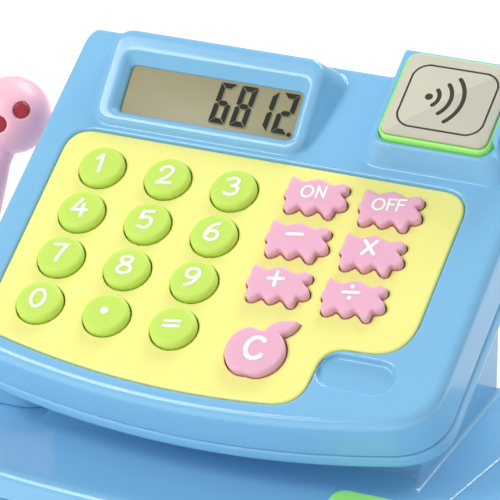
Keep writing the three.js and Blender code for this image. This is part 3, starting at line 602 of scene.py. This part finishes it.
def console_upper():
    plan = bowed(CENTRE, SHELL)
    skin = to_object("console_upper", flare(domed(plan, SPLIT, TOP, 3.2, 10), TOP, UPPER_FLARE))
    cut(skin, rear_slope(SHELL_REAR, TOP))
    left, right, front, rear = (TOWER[k] for k in ("left", "right", "front", "rear"))
    tower = domed(rounded_rectangle((left + right) / 2, (front + rear) / 2, right - left, rear - front, 4),
                  BLOCK_FOOT, TOWER["top"], 1.8, 6)
    surround = common(to_object("surround", display_funnel(1.8, 1)), hood(0.3))
    join(skin, hood(0, 2.0), pad_block(), tower)
    cut(skin, flare(prism(bowed(CENTRE, SHELL, WALL), SPLIT - 1, -3), TOP, UPPER_FLARE), hood(WALL))
    join(skin, surround)
    panel = outline_turn(panel_outline())
    half_slot = TOWER["slot_width"] / 2
    cut(skin, box(PAD["u"] - PAD["width"] / 2 - 1.2, left + 0.3, 38.9, 120, -4, PAD["rim"] - WALL),
        prism(pad_well(), -5, 20), display_funnel(0, 1.2),
        box(TOWER["slot"] - half_slot, TOWER["slot"] + half_slot, 30, 120, 2.2, 40),
        prism(inset(panel, -GAP), -1.5, 5), prism(inset(panel, 1.8), -5, 5),
        prism(rounded_rectangle(CAPSULE["u"], CAPSULE["v"], CAPSULE["width"], CAPSULE["height"], 5.7),
              TOP - CAPSULE["depth"], 5),
        behind(BACK_PLANE))
    wall = to_object("wall", flare(prism(plan, SPLIT, TOP - 3), TOP, UPPER_FLARE))
    cut(wall, rear_slope(SHELL_REAR, TOP))
    join(wall, hood(0.4), pad_block(0.4))
    common(wall, moved(box(-400, 400, BACK_PLANE - BACK_WALL, BACK_PLANE, -200, 500), TO_CONSOLE_MM))
    join(skin, wall)
    soften(skin, 0.4, 14)
    return finished(skin, BLUE, "root", ["console_upper_shell"], CONSOLE)


def console_lower():
    plan = dict(SHELL, half=SHELL["half"] + 1, apex=SHELL["apex"] - 0.8, corner=SHELL["corner"] - 0.6)
    outer = domed(bowed(CENTRE, plan), -SPLIT + 0.3, -BOTTOM, 2.4, 8)
    outer = [(x, y, -z) for x, y, z in outer[0]], [face[::-1] for face in outer[1]]
    shell = to_object("console_lower", flare(outer, SPLIT, LOWER_FLARE))
    hollow = to_object("hollow", prism(bowed(CENTRE, plan, WALL), BOTTOM + WALL, SPLIT + 1))
    cut(hollow, behind(BACK_PLANE - BACK_WALL, 400))
    cut(shell, hollow)
    post = shifted(rod(4.9, BOTTOM + 1, -8), PAD["u"], PAD["v"])
    bosses = [shifted(rod(3.6, BOTTOM + 1, -11), u, SCREW_V) for u in SCREW_U]
    holes = [shifted(rod(1.6, BOTTOM - 1, -12.2), u, SCREW_V) for u in SCREW_U]
    join(shell, post, *bosses)
    cut(shell, *holes, behind(BACK_PLANE))
    soften(shell, 0.5, 5)
    return finished(shell, BLUE, "root", ["console_lower_shell"], CONSOLE)


# ---------------------------------------------------------------- keypad
KEYS = []
for j, row in enumerate((("1", "2", "3"), ("4", "5", "6"), ("7", "8", "9"), ("0", "dot", "equals"))):
    for i, key in enumerate(row):
        KEYS.append((key, COLUMNS[i], ROWS[j], "round"))
for j, row in enumerate((("on", "off"), ("minus", "times"), ("plus", "divide"))):
    for i, key in enumerate(row):
        KEYS.append((key, FUNCTION_COLUMNS[i], FUNCTION_ROWS[j], "splash"))
KEYS.append(("clear", *CLEAR_KEY, "apple"))


def keypad_panel():
    panel = to_object("keypad_panel_face", domed(panel_outline(), -1.2, 0, 0.8, 5))
    splash = outline_turn(smooth_curve(SPLASH, 0.5, closed=True))
    outlines = {"splash": [splash], "apple": [outline_turn(apple_outline()), outline_turn(leaf_outline())]}
    for _, u, v, kind in KEYS:
        if kind == "round":
            cut(panel, shifted(rod(KEY_R + KEY_HOLE, -4, 3, 64), u, v))
        else:
            cut(panel, *[prism(inset(at_key(outline, u, v), -KEY_HOLE), -4, 3) for outline in outlines[kind]])
    soften(panel, 0.28, 4)
    return finished(panel, YELLOW, "root", ["keypad_panel"], CONSOLE)


def round_key(name, u, v):
    profile = rounded([(0, KEY_BOTTOM), (KEY_R + 0.7, KEY_BOTTOM), (KEY_R + 0.7, KEY_BOTTOM + 1.1),
                       (KEY_R, KEY_BOTTOM + 1.1), (KEY_R, 0.2)], 1.5, KEY_TOP, 8)
    obj = to_object(name, shifted(lathe(profile, 72), u, v))
    shade(obj, 50)
    return obj


def moulded_key(name, outlines, flange):
    """A soft key of one or more outlines; the flange is on the first."""
    key = to_object(name, domed(outlines[0], KEY_BOTTOM + 1, KEY_TOP + 0.1, 0.8, 3))
    for outline in outlines[1:]:
        join(key, domed(outline, KEY_BOTTOM + 1, KEY_TOP + 0.1, 0.8, 3))
    join(key, prism(inset(outline_turn(outlines[0]), -flange), KEY_BOTTOM, KEY_BOTTOM + 1.1))
    return soften(key, 0.2, 26)


def build_keys():
    splash = outline_turn(smooth_curve(SPLASH, 0.4, closed=True))
    for key, u, v, kind in KEYS:
        name = "key_face_" + key
        if kind == "round":
            obj = round_key(name, u, v)
        elif kind == "splash":
            obj = moulded_key(name, [at_key(splash, u, v)], 0.4)
        else:
            obj = moulded_key(name, [at_key(apple_outline(), u, v), at_key(leaf_outline(), u, v)], 0.5)
        material, slot = (KEY_GREEN, "green_rubber") if kind == "round" else (KEY_PINK, "pink_rubber")
        finished(obj, material, "key_" + key, ["key_" + key], CONSOLE)


# ---------------------------------------------------------------- printed legends
def stroke(points, width, surface, height=0.05, closed=False, sides=8):
    """A round-ended line of ink along the points, lying on surface(u, v)."""
    p = [np.array(q, float) for q in points]
    r = width / 2
    samples = []
    count = len(p)
    for i, q in enumerate(p):
        before = p[i - 1] if closed or i else q
        after = p[(i + 1) % count] if closed or i < count - 1 else q
        tangent = after - before
        tangent = tangent / np.linalg.norm(tangent)
        samples.append((q, tangent, r))
    if not closed:
        caps = [math.cos(math.pi / 2 * k / 5) for k in range(5)]
        head, tail = samples[0], samples[-1]
        front = [(head[0] - head[1] * r * c, head[1], max(0.02, r * math.sqrt(1 - c * c))) for c in caps]
        end = [(tail[0] + tail[1] * r * c, tail[1], max(0.02, r * math.sqrt(1 - c * c))) for c in caps[::-1]]
        samples = front + samples + end
    verts = []
    for q, t, half in samples:
        side = np.array([-t[1], t[0]])
        for k in range(sides):
            a = 2 * math.pi * k / sides
            x, y = q + side * half * math.cos(a)
            verts.append((x, y, surface(x, y) + height * math.sin(a) * min(1, half / r + 0.3)))
    faces = []
    total = len(samples)
    for i in range(total if closed else total - 1):
        for k in range(sides):
            a, b = i * sides, ((i + 1) % total) * sides
            m = (k + 1) % sides
            faces.append([a + k, a + m, b + m, b + k])
    if not closed:
        faces.append(list(range(sides))[::-1])
        faces.append([(total - 1) * sides + k for k in range(sides)])
    return verts, faces


def merged(parts):
    """Several pieces of mesh data as one."""
    verts, faces = [], []
    for v, f in parts:
        start = len(verts)
        verts += v
        faces += [[i + start for i in face] for face in f]
    return verts, faces


def disc(cx, cy, radius, surface, height=0.05):
    ring = [(cx + radius * math.cos(2 * math.pi * k / 32), cy + radius * math.sin(2 * math.pi * k / 32))
            for k in range(32)]
    inner = [(cx + (x - cx) * 0.9, cy + (y - cy) * 0.9) for x, y in ring]
    return loft([[(x, y, surface(x, y) - height) for x, y in ring], [(x, y, surface(x, y)) for x, y in ring],
                 [(x, y, surface(x, y) + height) for x, y in inner]])


def ellipse(rx, ry, cx=0.0, cy=0.0, start=0, end=360, n=36):
    return [(cx + rx * math.cos(math.radians(start + (end - start) * k / n)),
             cy + ry * math.sin(math.radians(start + (end - start) * k / n)))
            for k in range(n + (0 if end - start == 360 else 1))]


SIX = [(0.26, 0.48), (-0.02, 0.36), (-0.24, 0.1), (-0.32, -0.18), (-0.22, -0.42), (0.04, -0.5), (0.28, -0.38),
       (0.3, -0.12), (0.12, 0.04), (-0.12, 0.0), (-0.3, -0.2)]
GLYPHS = {
    "1": [[(-0.2, 0.28), (0.04, 0.5)], [(0.04, 0.5), (0.04, -0.5)]],
    "2": [[(-0.3, 0.24), (-0.22, 0.43), (0.02, 0.5), (0.27, 0.4), (0.3, 0.18), (0.14, -0.08), (-0.12, -0.3),
           (-0.33, -0.48)], [(-0.33, -0.48), (0.36, -0.48)]],
    "3": [[(-0.28, 0.4), (0.0, 0.5), (0.26, 0.38), (0.22, 0.14), (-0.04, 0.04)],
          [(-0.04, 0.04), (0.24, -0.02), (0.33, -0.24), (0.2, -0.45), (-0.06, -0.5), (-0.3, -0.38)]],
    "4": [[(0.02, 0.5), (-0.36, -0.14)], [(-0.36, -0.14), (0.38, -0.14)], [(0.16, 0.2), (0.16, -0.5)]],
    "5": [[(0.32, 0.48), (-0.2, 0.48)], [(-0.2, 0.48), (-0.26, 0.08)],
          [(-0.26, 0.08), (0.04, 0.14), (0.28, 0.0), (0.3, -0.28), (0.08, -0.49), (-0.3, -0.42)]],
    "6": [SIX],
    "7": [[(-0.32, 0.48), (0.34, 0.48)], [(0.34, 0.48), (0.1, 0.02), (-0.04, -0.5)]],
    "8": [[(0.02, 0.05), (-0.24, 0.2), (-0.2, 0.43), (0.03, 0.5), (0.25, 0.41), (0.26, 0.2), (0.02, 0.05),
           (-0.28, -0.12), (-0.3, -0.38), (0.0, -0.5), (0.3, -0.38), (0.3, -0.14), (0.02, 0.05)]],
    "9": [[(-x, -y) for x, y in SIX]],
    "equals": [[(-0.38, 0.15), (0.38, 0.15)], [(-0.38, -0.15), (0.38, -0.15)]],
    "minus": [[(-0.42, 0.0), (0.42, 0.0)]],
    "plus": [[(-0.42, 0.0), (0.42, 0.0)], [(0.0, 0.45), (0.0, -0.45)]],
    "times": [[(-0.32, 0.42), (0.32, -0.42)], [(0.32, 0.42), (-0.32, -0.42)]],
    "divide": [[(-0.42, 0.0), (0.42, 0.0)]],
    "N": [[(-0.3, -0.5), (-0.3, 0.5)], [(-0.3, 0.5), (0.3, -0.5)], [(0.3, -0.5), (0.3, 0.5)]],
    "F": [[(-0.24, -0.5), (-0.24, 0.5)], [(-0.24, 0.5), (0.3, 0.5)], [(-0.24, 0.04), (0.2, 0.04)]],
}


def legend(name, body, glyphs, centre, size, width, surface, turn=9.0):
    """Glyphs printed on a key, turned by some degrees; each is (name, x offset)."""
    a = math.radians(turn)
    lean = 0.06

    def put(q, dx):
        x, y = q[0] * size + dx, q[1] * size
        x += lean * y
        return (centre[0] + x * math.cos(a) - y * math.sin(a), centre[1] + x * math.sin(a) + y * math.cos(a))

    parts = []
    for glyph, dx in glyphs:
        if glyph in ("0", "O"):
            rx = 0.34 if glyph == "0" else 0.44
            parts.append(stroke([put(q, dx) for q in ellipse(rx, 0.5)], width, surface, closed=True))
            continue
        if glyph == "C":
            parts.append(stroke([put(q, dx) for q in ellipse(0.4, 0.5, 0, 0, 45, 318)], width, surface))
            continue
        if glyph in ("dot", "divide"):
            spots = [(0.0, 0.0)] if glyph == "dot" else [(0.0, 0.36), (0.0, -0.36)]
            for spot in spots:
                x, y = put(spot, dx)
                parts.append(disc(x, y, 1.25 if glyph == "dot" else 0.72, surface))
        for line in GLYPHS.get(glyph, []):
            points = smooth_curve([put(q, dx) for q in line], 0.25 if len(line) > 2 else 0.6)
            parts.append(stroke(points, width, surface))
    obj = to_object(name, merged(parts))
    shade(obj, 60)
    return finished(obj, INK_WHITE, body, matrix=CONSOLE)


def build_legends():
    def on_key(_u, _v):
        return KEY_TOP

    def on_moulded(_u, _v):
        return KEY_TOP + 0.1

    for key, u, v, kind in KEYS:
        name, body = "legend_" + key, "key_" + key
        word_at = (u - 0.1, v + 0.3)
        if kind == "round":
            legend(name, body, [(key, 0)], (u - 0.4, v + 0.5), 6.2, 1.02, on_key)
        elif key == "on":
            legend(name, body, [("O", -2.1), ("N", 2.2)], word_at, 4.0, 0.72, on_moulded, 8)
        elif key == "off":
            legend(name, body, [("O", -3.0), ("F", 0.9), ("F", 3.9)], word_at, 4.0, 0.72, on_moulded, 8)
        elif key == "clear":
            legend(name, body, [("C", 0)], (u + 0.3, v + 0.4), 7.4, 1.45, on_moulded)
        else:
            legend(name, body, [(key, 0)], (u - 0.5, v + 0.8), 5.6, 1.1, on_moulded)


# ---------------------------------------------------------------- display
SEGMENTS = {"6": "acdefg", "8": "abcdefg", "1": "bc", "2": "abdeg"}


def segment_outlines(width, height, line):
    """The seven bars of a digit about its centre, with mitred ends."""
    x, y, h, g = width / 2, height / 2, line / 2, 0.14
    top = [(-x + g, y), (x - g, y), (x - line - g, y - line), (-x + line + g, y - line)]
    upper = [(x, y - g), (x, h * 0.4 + g), (x - h, g), (x - line, h + g), (x - line, y - line - g)]
    lower = [(px, -py) for px, py in upper]
    middle = [(-x + h + g, 0), (-x + line + g, h), (x - line - g, h), (x - h - g, 0), (x - line - g, -h),
              (-x + line + g, -h)]
    return {
        "a": top, "b": upper, "c": lower, "d": [(px, -py) for px, py in top],
        "e": [(-px, -py) for px, py in upper], "f": [(-px, py) for px, py in upper], "g": middle,
    }


def build_display():
    glass = to_object("lcd_face", domed(rounded_rectangle(0, 0.2, 61, 18.6, 1), -5.6, -3, 0.15, 2))
    place = CONSOLE @ Matrix.Translation(LCD_AT * MM) @ Matrix.Rotation(LCD["tilt"], 4, "X")
    shade(glass, 35)
    finished(glass, GLASS, "root", ["lcd_panel"], place)
    bars = segment_outlines(5.4, 13.4, 1.7)
    first, pitch, lean, rise = 3.6, 6.95, 0.075, 0.55

    def digits(shift_x, shift_y, z0, z1):
        parts = []
        for k, digit in enumerate("6812"):
            for bar in SEGMENTS[digit]:
                outline = [(first + pitch * k + x + lean * y + shift_x, rise + y + shift_y)
                           for x, y in bars[bar]]
                parts.append(prism(outline, z0, z1))
        parts.append(prism(rounded_rectangle(27.3 + shift_x, -5.9 + shift_y, 1.3, 1.3, 0.3), z0, z1))
        return merged(parts)

    dark = to_object("lcd_digits", digits(0, 0, -3.02, -2.93))
    finished(dark, SEGMENT, "root", matrix=place)
    # Painted shadow: a paler copy of the digits, shifted right and down and set a little lower, stands for
    # the shadow the digits cast on the display's reflector.
    painted_digit_shadow = to_object("lcd_digit_shadows", digits(0.45, -0.5, -3.02, -2.96))
    finished(painted_digit_shadow, SEGMENT_SHADOW, "root", matrix=place)


# ---------------------------------------------------------------- press pad
def label_height(u, v):
    """The label's surface, a low pyramid."""
    x = abs(u - PAD["u"]) / (LABEL_WIDTH / 2)
    y = abs(v - PAD["v"]) / (LABEL_HEIGHT / 2)
    return 10.62 + 0.3 * (1 - max(x, y))


def build_pad():
    outline = rounded_rectangle(PAD["u"], PAD["v"], PAD["width"], PAD["height"], 4)
    label = rounded_rectangle(PAD["u"], PAD["v"], LABEL_WIDTH, LABEL_HEIGHT, 2.8)
    back = PAD["v"] + PAD["height"] / 2 - 2
    pad = to_object("tap_pad_body", domed(outline, 4, PAD["top"], 1.0, 6))
    skirt = to_object("skirt", prism(inset(outline_turn(outline), -0.9), 3.6, 5))
    common(skirt, box(0, 200, 0, back, 0, 20))
    join(pad, skirt)
    cut(pad, prism(inset(outline_turn(label), -0.3), PAD["top"] - 0.8, 12),
        prism(inset(outline_turn(outline), 2), 3, 7.4),
        box(0, 200, back, 120, 0, 6.2))
    join(pad, shifted(rod(4, 0, 8), PAD["u"], PAD["v"]))
    soften(pad, 0.25, 4)
    finished(pad, PLASTIC_GREEN, "tap_pad", ["tap_pad"], CONSOLE)

    rings = [at_height(label, PAD["top"] - 0.5)]
    for shrink, drop in ((0.0, 0.25), (0.12, 0.08), (0.35, 0.0)):
        ring = inset(outline_turn(label), shrink)
        rings.append([(x, y, label_height(x, y) - drop) for x, y in ring])
    steps = 40
    last = rings[-1]
    for k in range(1, steps):
        t = k / steps
        ring = [(x + (PAD["u"] - x) * t, y + (PAD["v"] - y) * t) for x, y, _ in last]
        rings.append([(x, y, label_height(x, y)) for x, y in ring])
    film = to_object("label_face", loft(rings))
    shade(film, 30)
    finished(film, LABEL, "tap_pad", ["tap_pad_label"], CONSOLE)

    def ink(u, v):
        return label_height(u, v) + 0.01

    middle = 56.4
    border = smooth_curve(rounded_rectangle(79.6, middle, 27.4, 23.6, 5.2, 14), 0.5, closed=True)
    parts = [stroke(border, 0.66, ink, 0.03, closed=True), disc(73.6, middle, 1.25, ink, 0.03)]
    for radius in (4.2, 8.0, 11.8):
        parts.append(stroke(ellipse(radius, radius, 72.6, middle, -44, 44, 30), 1.35, ink, 0.03))
    icon = to_object("label_print", merged(parts))
    shade(icon, 60)
    finished(icon, INK_DARK, "tap_pad", matrix=CONSOLE)


# ---------------------------------------------------------------- base
def neck(shrink):
    """The column under the console, flaring out at its front foot."""
    left, right, front, back, fillet = (NECK[k] for k in ("left", "right", "front", "back", "fillet"))
    if shrink:
        section = [(front + shrink, BASE_TOP - 6)]
    else:
        section = [(front - fillet, BASE_TOP - 1), (front - fillet, BASE_TOP)]
        section += quadratic(section[-1], (front, BASE_TOP), (front, BASE_TOP + fillet), 14)
    above = 160
    section += [(front + shrink, above), (back - shrink, above),
                (back - shrink, BASE_TOP - (6 if shrink else 1))]
    rings = [[(x, y, z) for y, z in section] for x in (left + shrink, right - shrink)]
    body = to_object("neck", loft(rings))
    limit = moved(box(-400, 400, -400, 400, BOTTOM - 0.3 - shrink, BOTTOM + 400), TO_CONSOLE_MM.inverted())
    return cut(body, limit)


def button_outline(gap=0.0):
    return rounded_rectangle(BUTTON_X, LATCH_Y, 24 + 2 * gap, 14 + 2 * gap, 4.5 + gap)


def counter_outline():
    """The inlay at the right of the base's top."""
    points = [(80, -36), (114, -36)]
    points += quadratic(points[-1], (122, -36), (122, -28), 12)
    points.append((122, 34))
    points += quadratic(points[-1], (122, 42), (114, 42), 12)
    points.append((93, 42))
    points += quadratic(points[-1], (89.1, 42), (88.5, 38), 8)
    points.append((78, -32))
    points += quadratic(points[-1], (77.5, -36), (80, -36), 8)[:-1]
    return outline_turn(points)


def base_shell():
    shell = to_object("base_body", domed(bowed(0, BASE), BASE_SPLIT, BASE_TOP, 3.2, 10))
    join(shell, neck(0))
    cut(shell, prism(bowed(0, BASE, WALL), 5, BASE_TOP - WALL), neck(WALL))
    ears = [box(PIVOT_X - 2.6, PIVOT_X + 2.6, y0, y1, 42.6, 51)
            for y0, y1 in ((LATCH_Y - 5.7, LATCH_Y - 3.7), (LATCH_Y + 3.7, LATCH_Y + 5.7))]
    bosses = [shifted(rod(3.6, 6.6, 51, 32), BASE_SCREW_X * side) for side in (-1, 1)]
    join(shell, *ears, *bosses)
    cut(shell, prism(button_outline(GAP), 40, 60),
        prism(inset(counter_outline(), -0.3), BASE_TOP - 1.3, BASE_TOP + 1),
        cross_rod(1.12, PIVOT_X, LATCH_Y - 8, LATCH_Y + 5, PIVOT_Z),
        *[shifted(rod(1.6, 6, 20, 24), BASE_SCREW_X * side) for side in (-1, 1)],
        *[moved(shifted(rod(1.8, -40, -10, 24), u, SCREW_V), TO_CONSOLE_MM.inverted()) for u in SCREW_U],
        box(-DRAWER_OPENING, DRAWER_OPENING, -80, -45, 5, 43))
    soften(shell, 0.5, 8)
    return finished(shell, BLUE, "root", ["base_shell"])


def build_base():
    base_shell()
    plate = to_object("counter_face", domed(counter_outline(), 50.9, 51.9, 0.25, 3))
    shade(plate, 40)
    finished(plate, BLUE, "root", ["counter_plate"])
    button = to_object("button_cap", domed(button_outline(), 50, 55, 2.0, 8))
    join(button, shifted(rod(1.4, 46.7, 51), BUTTON_X - 1, LATCH_Y))
    soften(button, 0.25, 6)
    finished(button, PLASTIC_GREEN, "release_button", ["release_button"])

    front = to_object("drawer_face", prism(bowed(0, BASE), 9.4, 42.6))
    cut(front, prism(bowed(0, BASE, 3.2), 8, 44))
    common(front, box(0.4 - DRAWER_OPENING, DRAWER_OPENING - 0.4, -80, -45, 9.4, 42.6))
    notch = prism(rounded_rectangle(0, -44, 46, 20, 6), -90, -40)
    cut(front, moved(notch, Matrix.Rotation(-math.pi / 2, 4, "X")))
    soften(front, 0.35, 4)
    finished(front, BLUE, "drawer", ["drawer_front"])

    plinth = rounded_rectangle(-90.5, 11.5, 70, 67, 8)
    pod = to_object("holder_body", domed(plinth, BASE_TOP + 0.3, BASE_TOP + 10, 2.8, 8))
    join(pod, moved(rod(13.2, -7, 15, 72), SCANNER_MM))
    cut(pod, moved(rod(11, -0.4, 40, 72), SCANNER_MM), box(-200, 0, -100, 100, 0, BASE_TOP + 0.3))
    soften(pod, 0.4, 7)
    finished(pod, BLUE, "root", ["scanner_holder"])
    for name in ("drawer_tray", "base_floor", "battery_door", "sound_board", "latch_lever", "speaker"):
        node = frame["nodes"][name]
        edge = node.modifiers.new("edge", "BEVEL")
        edge.width = 0.3 * MM
        edge.segments = 2
        edge.limit_method = "ANGLE"
        edge.angle_limit = math.radians(50)


# ---------------------------------------------------------------- scanner
# It leans 16 degrees to the right and 26 back, and its face turns 14 degrees to the right.
axis = Vector((math.tan(math.radians(16)), math.tan(math.radians(26)), 1)).normalized()
facing = Vector((math.sin(math.radians(14)), -math.cos(math.radians(14)), 0))
facing = (facing - axis * facing.dot(axis)).normalized()
side_way = axis.cross(facing)
butt = Vector((-99.5, 48.8, 116)) - axis * HEAD
rows = [(side_way[i], -facing[i], axis[i], butt[i]) for i in range(3)] + [(0, 0, 0, 1)]
SCANNER_MM = Matrix(rows)
SCANNER = Matrix([(a, b, c, d * MM) for a, b, c, d in rows])
WINDOWS = ((-2.44, HEAD - 3.46), (2.44, HEAD + 3.46))


def scanner_profile(shrink, rings=28):
    """A slim handle, a waist and a round head, from the butt up."""
    waist = 5.6 - shrink
    start = math.asin(waist / (HEAD_R - shrink))
    body = smooth_curve([(9.6 - shrink, shrink), (10.4 - shrink, 1.6 + 0.6 * shrink), (10.4 - shrink, 14),
                         (9.3 - shrink, 28), (7.2 - shrink, 40), (waist, 47)], 1.2)
    profile = [(0, shrink)] + body
    for k in range(rings + 1):
        a = math.pi - start - (math.pi - start) * k / rings
        profile.append((max(0.0, (HEAD_R - shrink) * math.sin(a)), HEAD + (HEAD_R - shrink) * math.cos(a)))
    profile[-1] = (0, profile[-1][1])
    return profile


def build_scanner():
    forwards = Matrix.Rotation(math.pi / 2, 4, "X")
    for half, y0, y1 in (("front", -30, -0.12), ("rear", 0.12, 30)):
        shell = to_object("scanner_" + half, lathe(scanner_profile(0), 96))
        cut(shell, lathe(scanner_profile(HEAD_WALL), 96))
        common(shell, box(-30, 30, y0, y1, -10, 90))
        if half == "front":
            cut(shell, *[cross_rod(2.75, x, -20, -4, z, 40) for x, z in WINDOWS],
                moved(prism(rounded_rectangle(0, 32, 7.4, 11.4, 3.5), 2, 14), forwards))
        soften(shell, 0.3, 7)
        finished(shell, PINK, "scanner", ["scanner_%s_shell" % half], SCANNER)
    for k, (x, z) in enumerate(WINDOWS):
        lens = lathe(rounded([(0, 0), (2.55, 0), (2.55, 2.4)], 0.8, 3.2, 6), 40)
        obj = to_object("scanner_lens_%d" % (k + 1), moved(lens, Matrix.Translation((x, -8, z)) @ forwards))
        shade(obj, 50)
        finished(obj, RED, "scanner", ["scanner_window_%d" % (k + 1)], SCANNER)
    cap = domed(rounded_rectangle(0, 32, 6.7, 10.7, 3.2), 4, 11, 1.4, 6)
    trigger = to_object("trigger_cap", moved(cap, forwards))
    shade(trigger, 50)
    finished(trigger, PLASTIC_GREEN, "scanner_trigger", ["scanner_trigger"], SCANNER)


console_upper()
console_lower()
keypad_panel()
build_keys()
build_legends()
build_display()
build_pad()
build_base()
build_scanner()


# ---------------------------------------------------------------- floor, light and camera
def floor():
    half = 4000
    corners = [(-half, -half, 0), (half, -half, 0), (half, half, 0), (-half, half, 0)]
    obj = to_object("floor", (corners, [[0, 1, 2, 3]]))
    material = plastic("floor", (250, 250, 250), roughness=0.8, mottle=0.004, specular=0.1, emission=0.12)
    obj.data.materials.append(material)


def area(name, location, width, height, power):
    """A rectangular soft light aimed at the middle of the object; metres and watts."""
    light = bpy.data.lights.new(name, "AREA")
    light.energy = power
    light.shape = "RECTANGLE"
    light.size = width
    light.size_y = height
    obj = bpy.data.objects.new(name, light)
    obj.location = location
    obj.rotation_euler = (Vector((0, 0, 0.1)) - Vector(location)).to_track_quat("-Z", "Y").to_euler()
    scene.collection.objects.link(obj)


floor()
area("key_light", (-0.85, -0.95, 1.3), 0.9, 0.7, 15)
area("strip_light", (-0.54, -1.2, 0.86), 0.8, 0.07, 3)
area("back_light", (0.25, 1.1, 1.25), 1.1, 0.7, 18)
world = bpy.data.worlds.new("studio")
scene.world = world
world.use_nodes = True
world.node_tree.nodes["Background"].inputs["Color"].default_value = (0.97, 0.985, 1.0, 1)
world.node_tree.nodes["Background"].inputs["Strength"].default_value = 0.40
scene.view_settings.view_transform = "Standard"

camera = bpy.data.cameras.new("camera")
camera.lens = 288
camera.sensor_width = 36
camera.clip_end = 20
eye = bpy.data.objects.new("camera", camera)
eye.location = Vector((432.87, -996.49, 614.39)) * MM
eye.rotation_euler = (Vector((-0.93, 10.71, 103.09)) * MM - eye.location).to_track_quat("-Z", "Y").to_euler()
scene.collection.objects.link(eye)
scene.camera = eye

write_size()
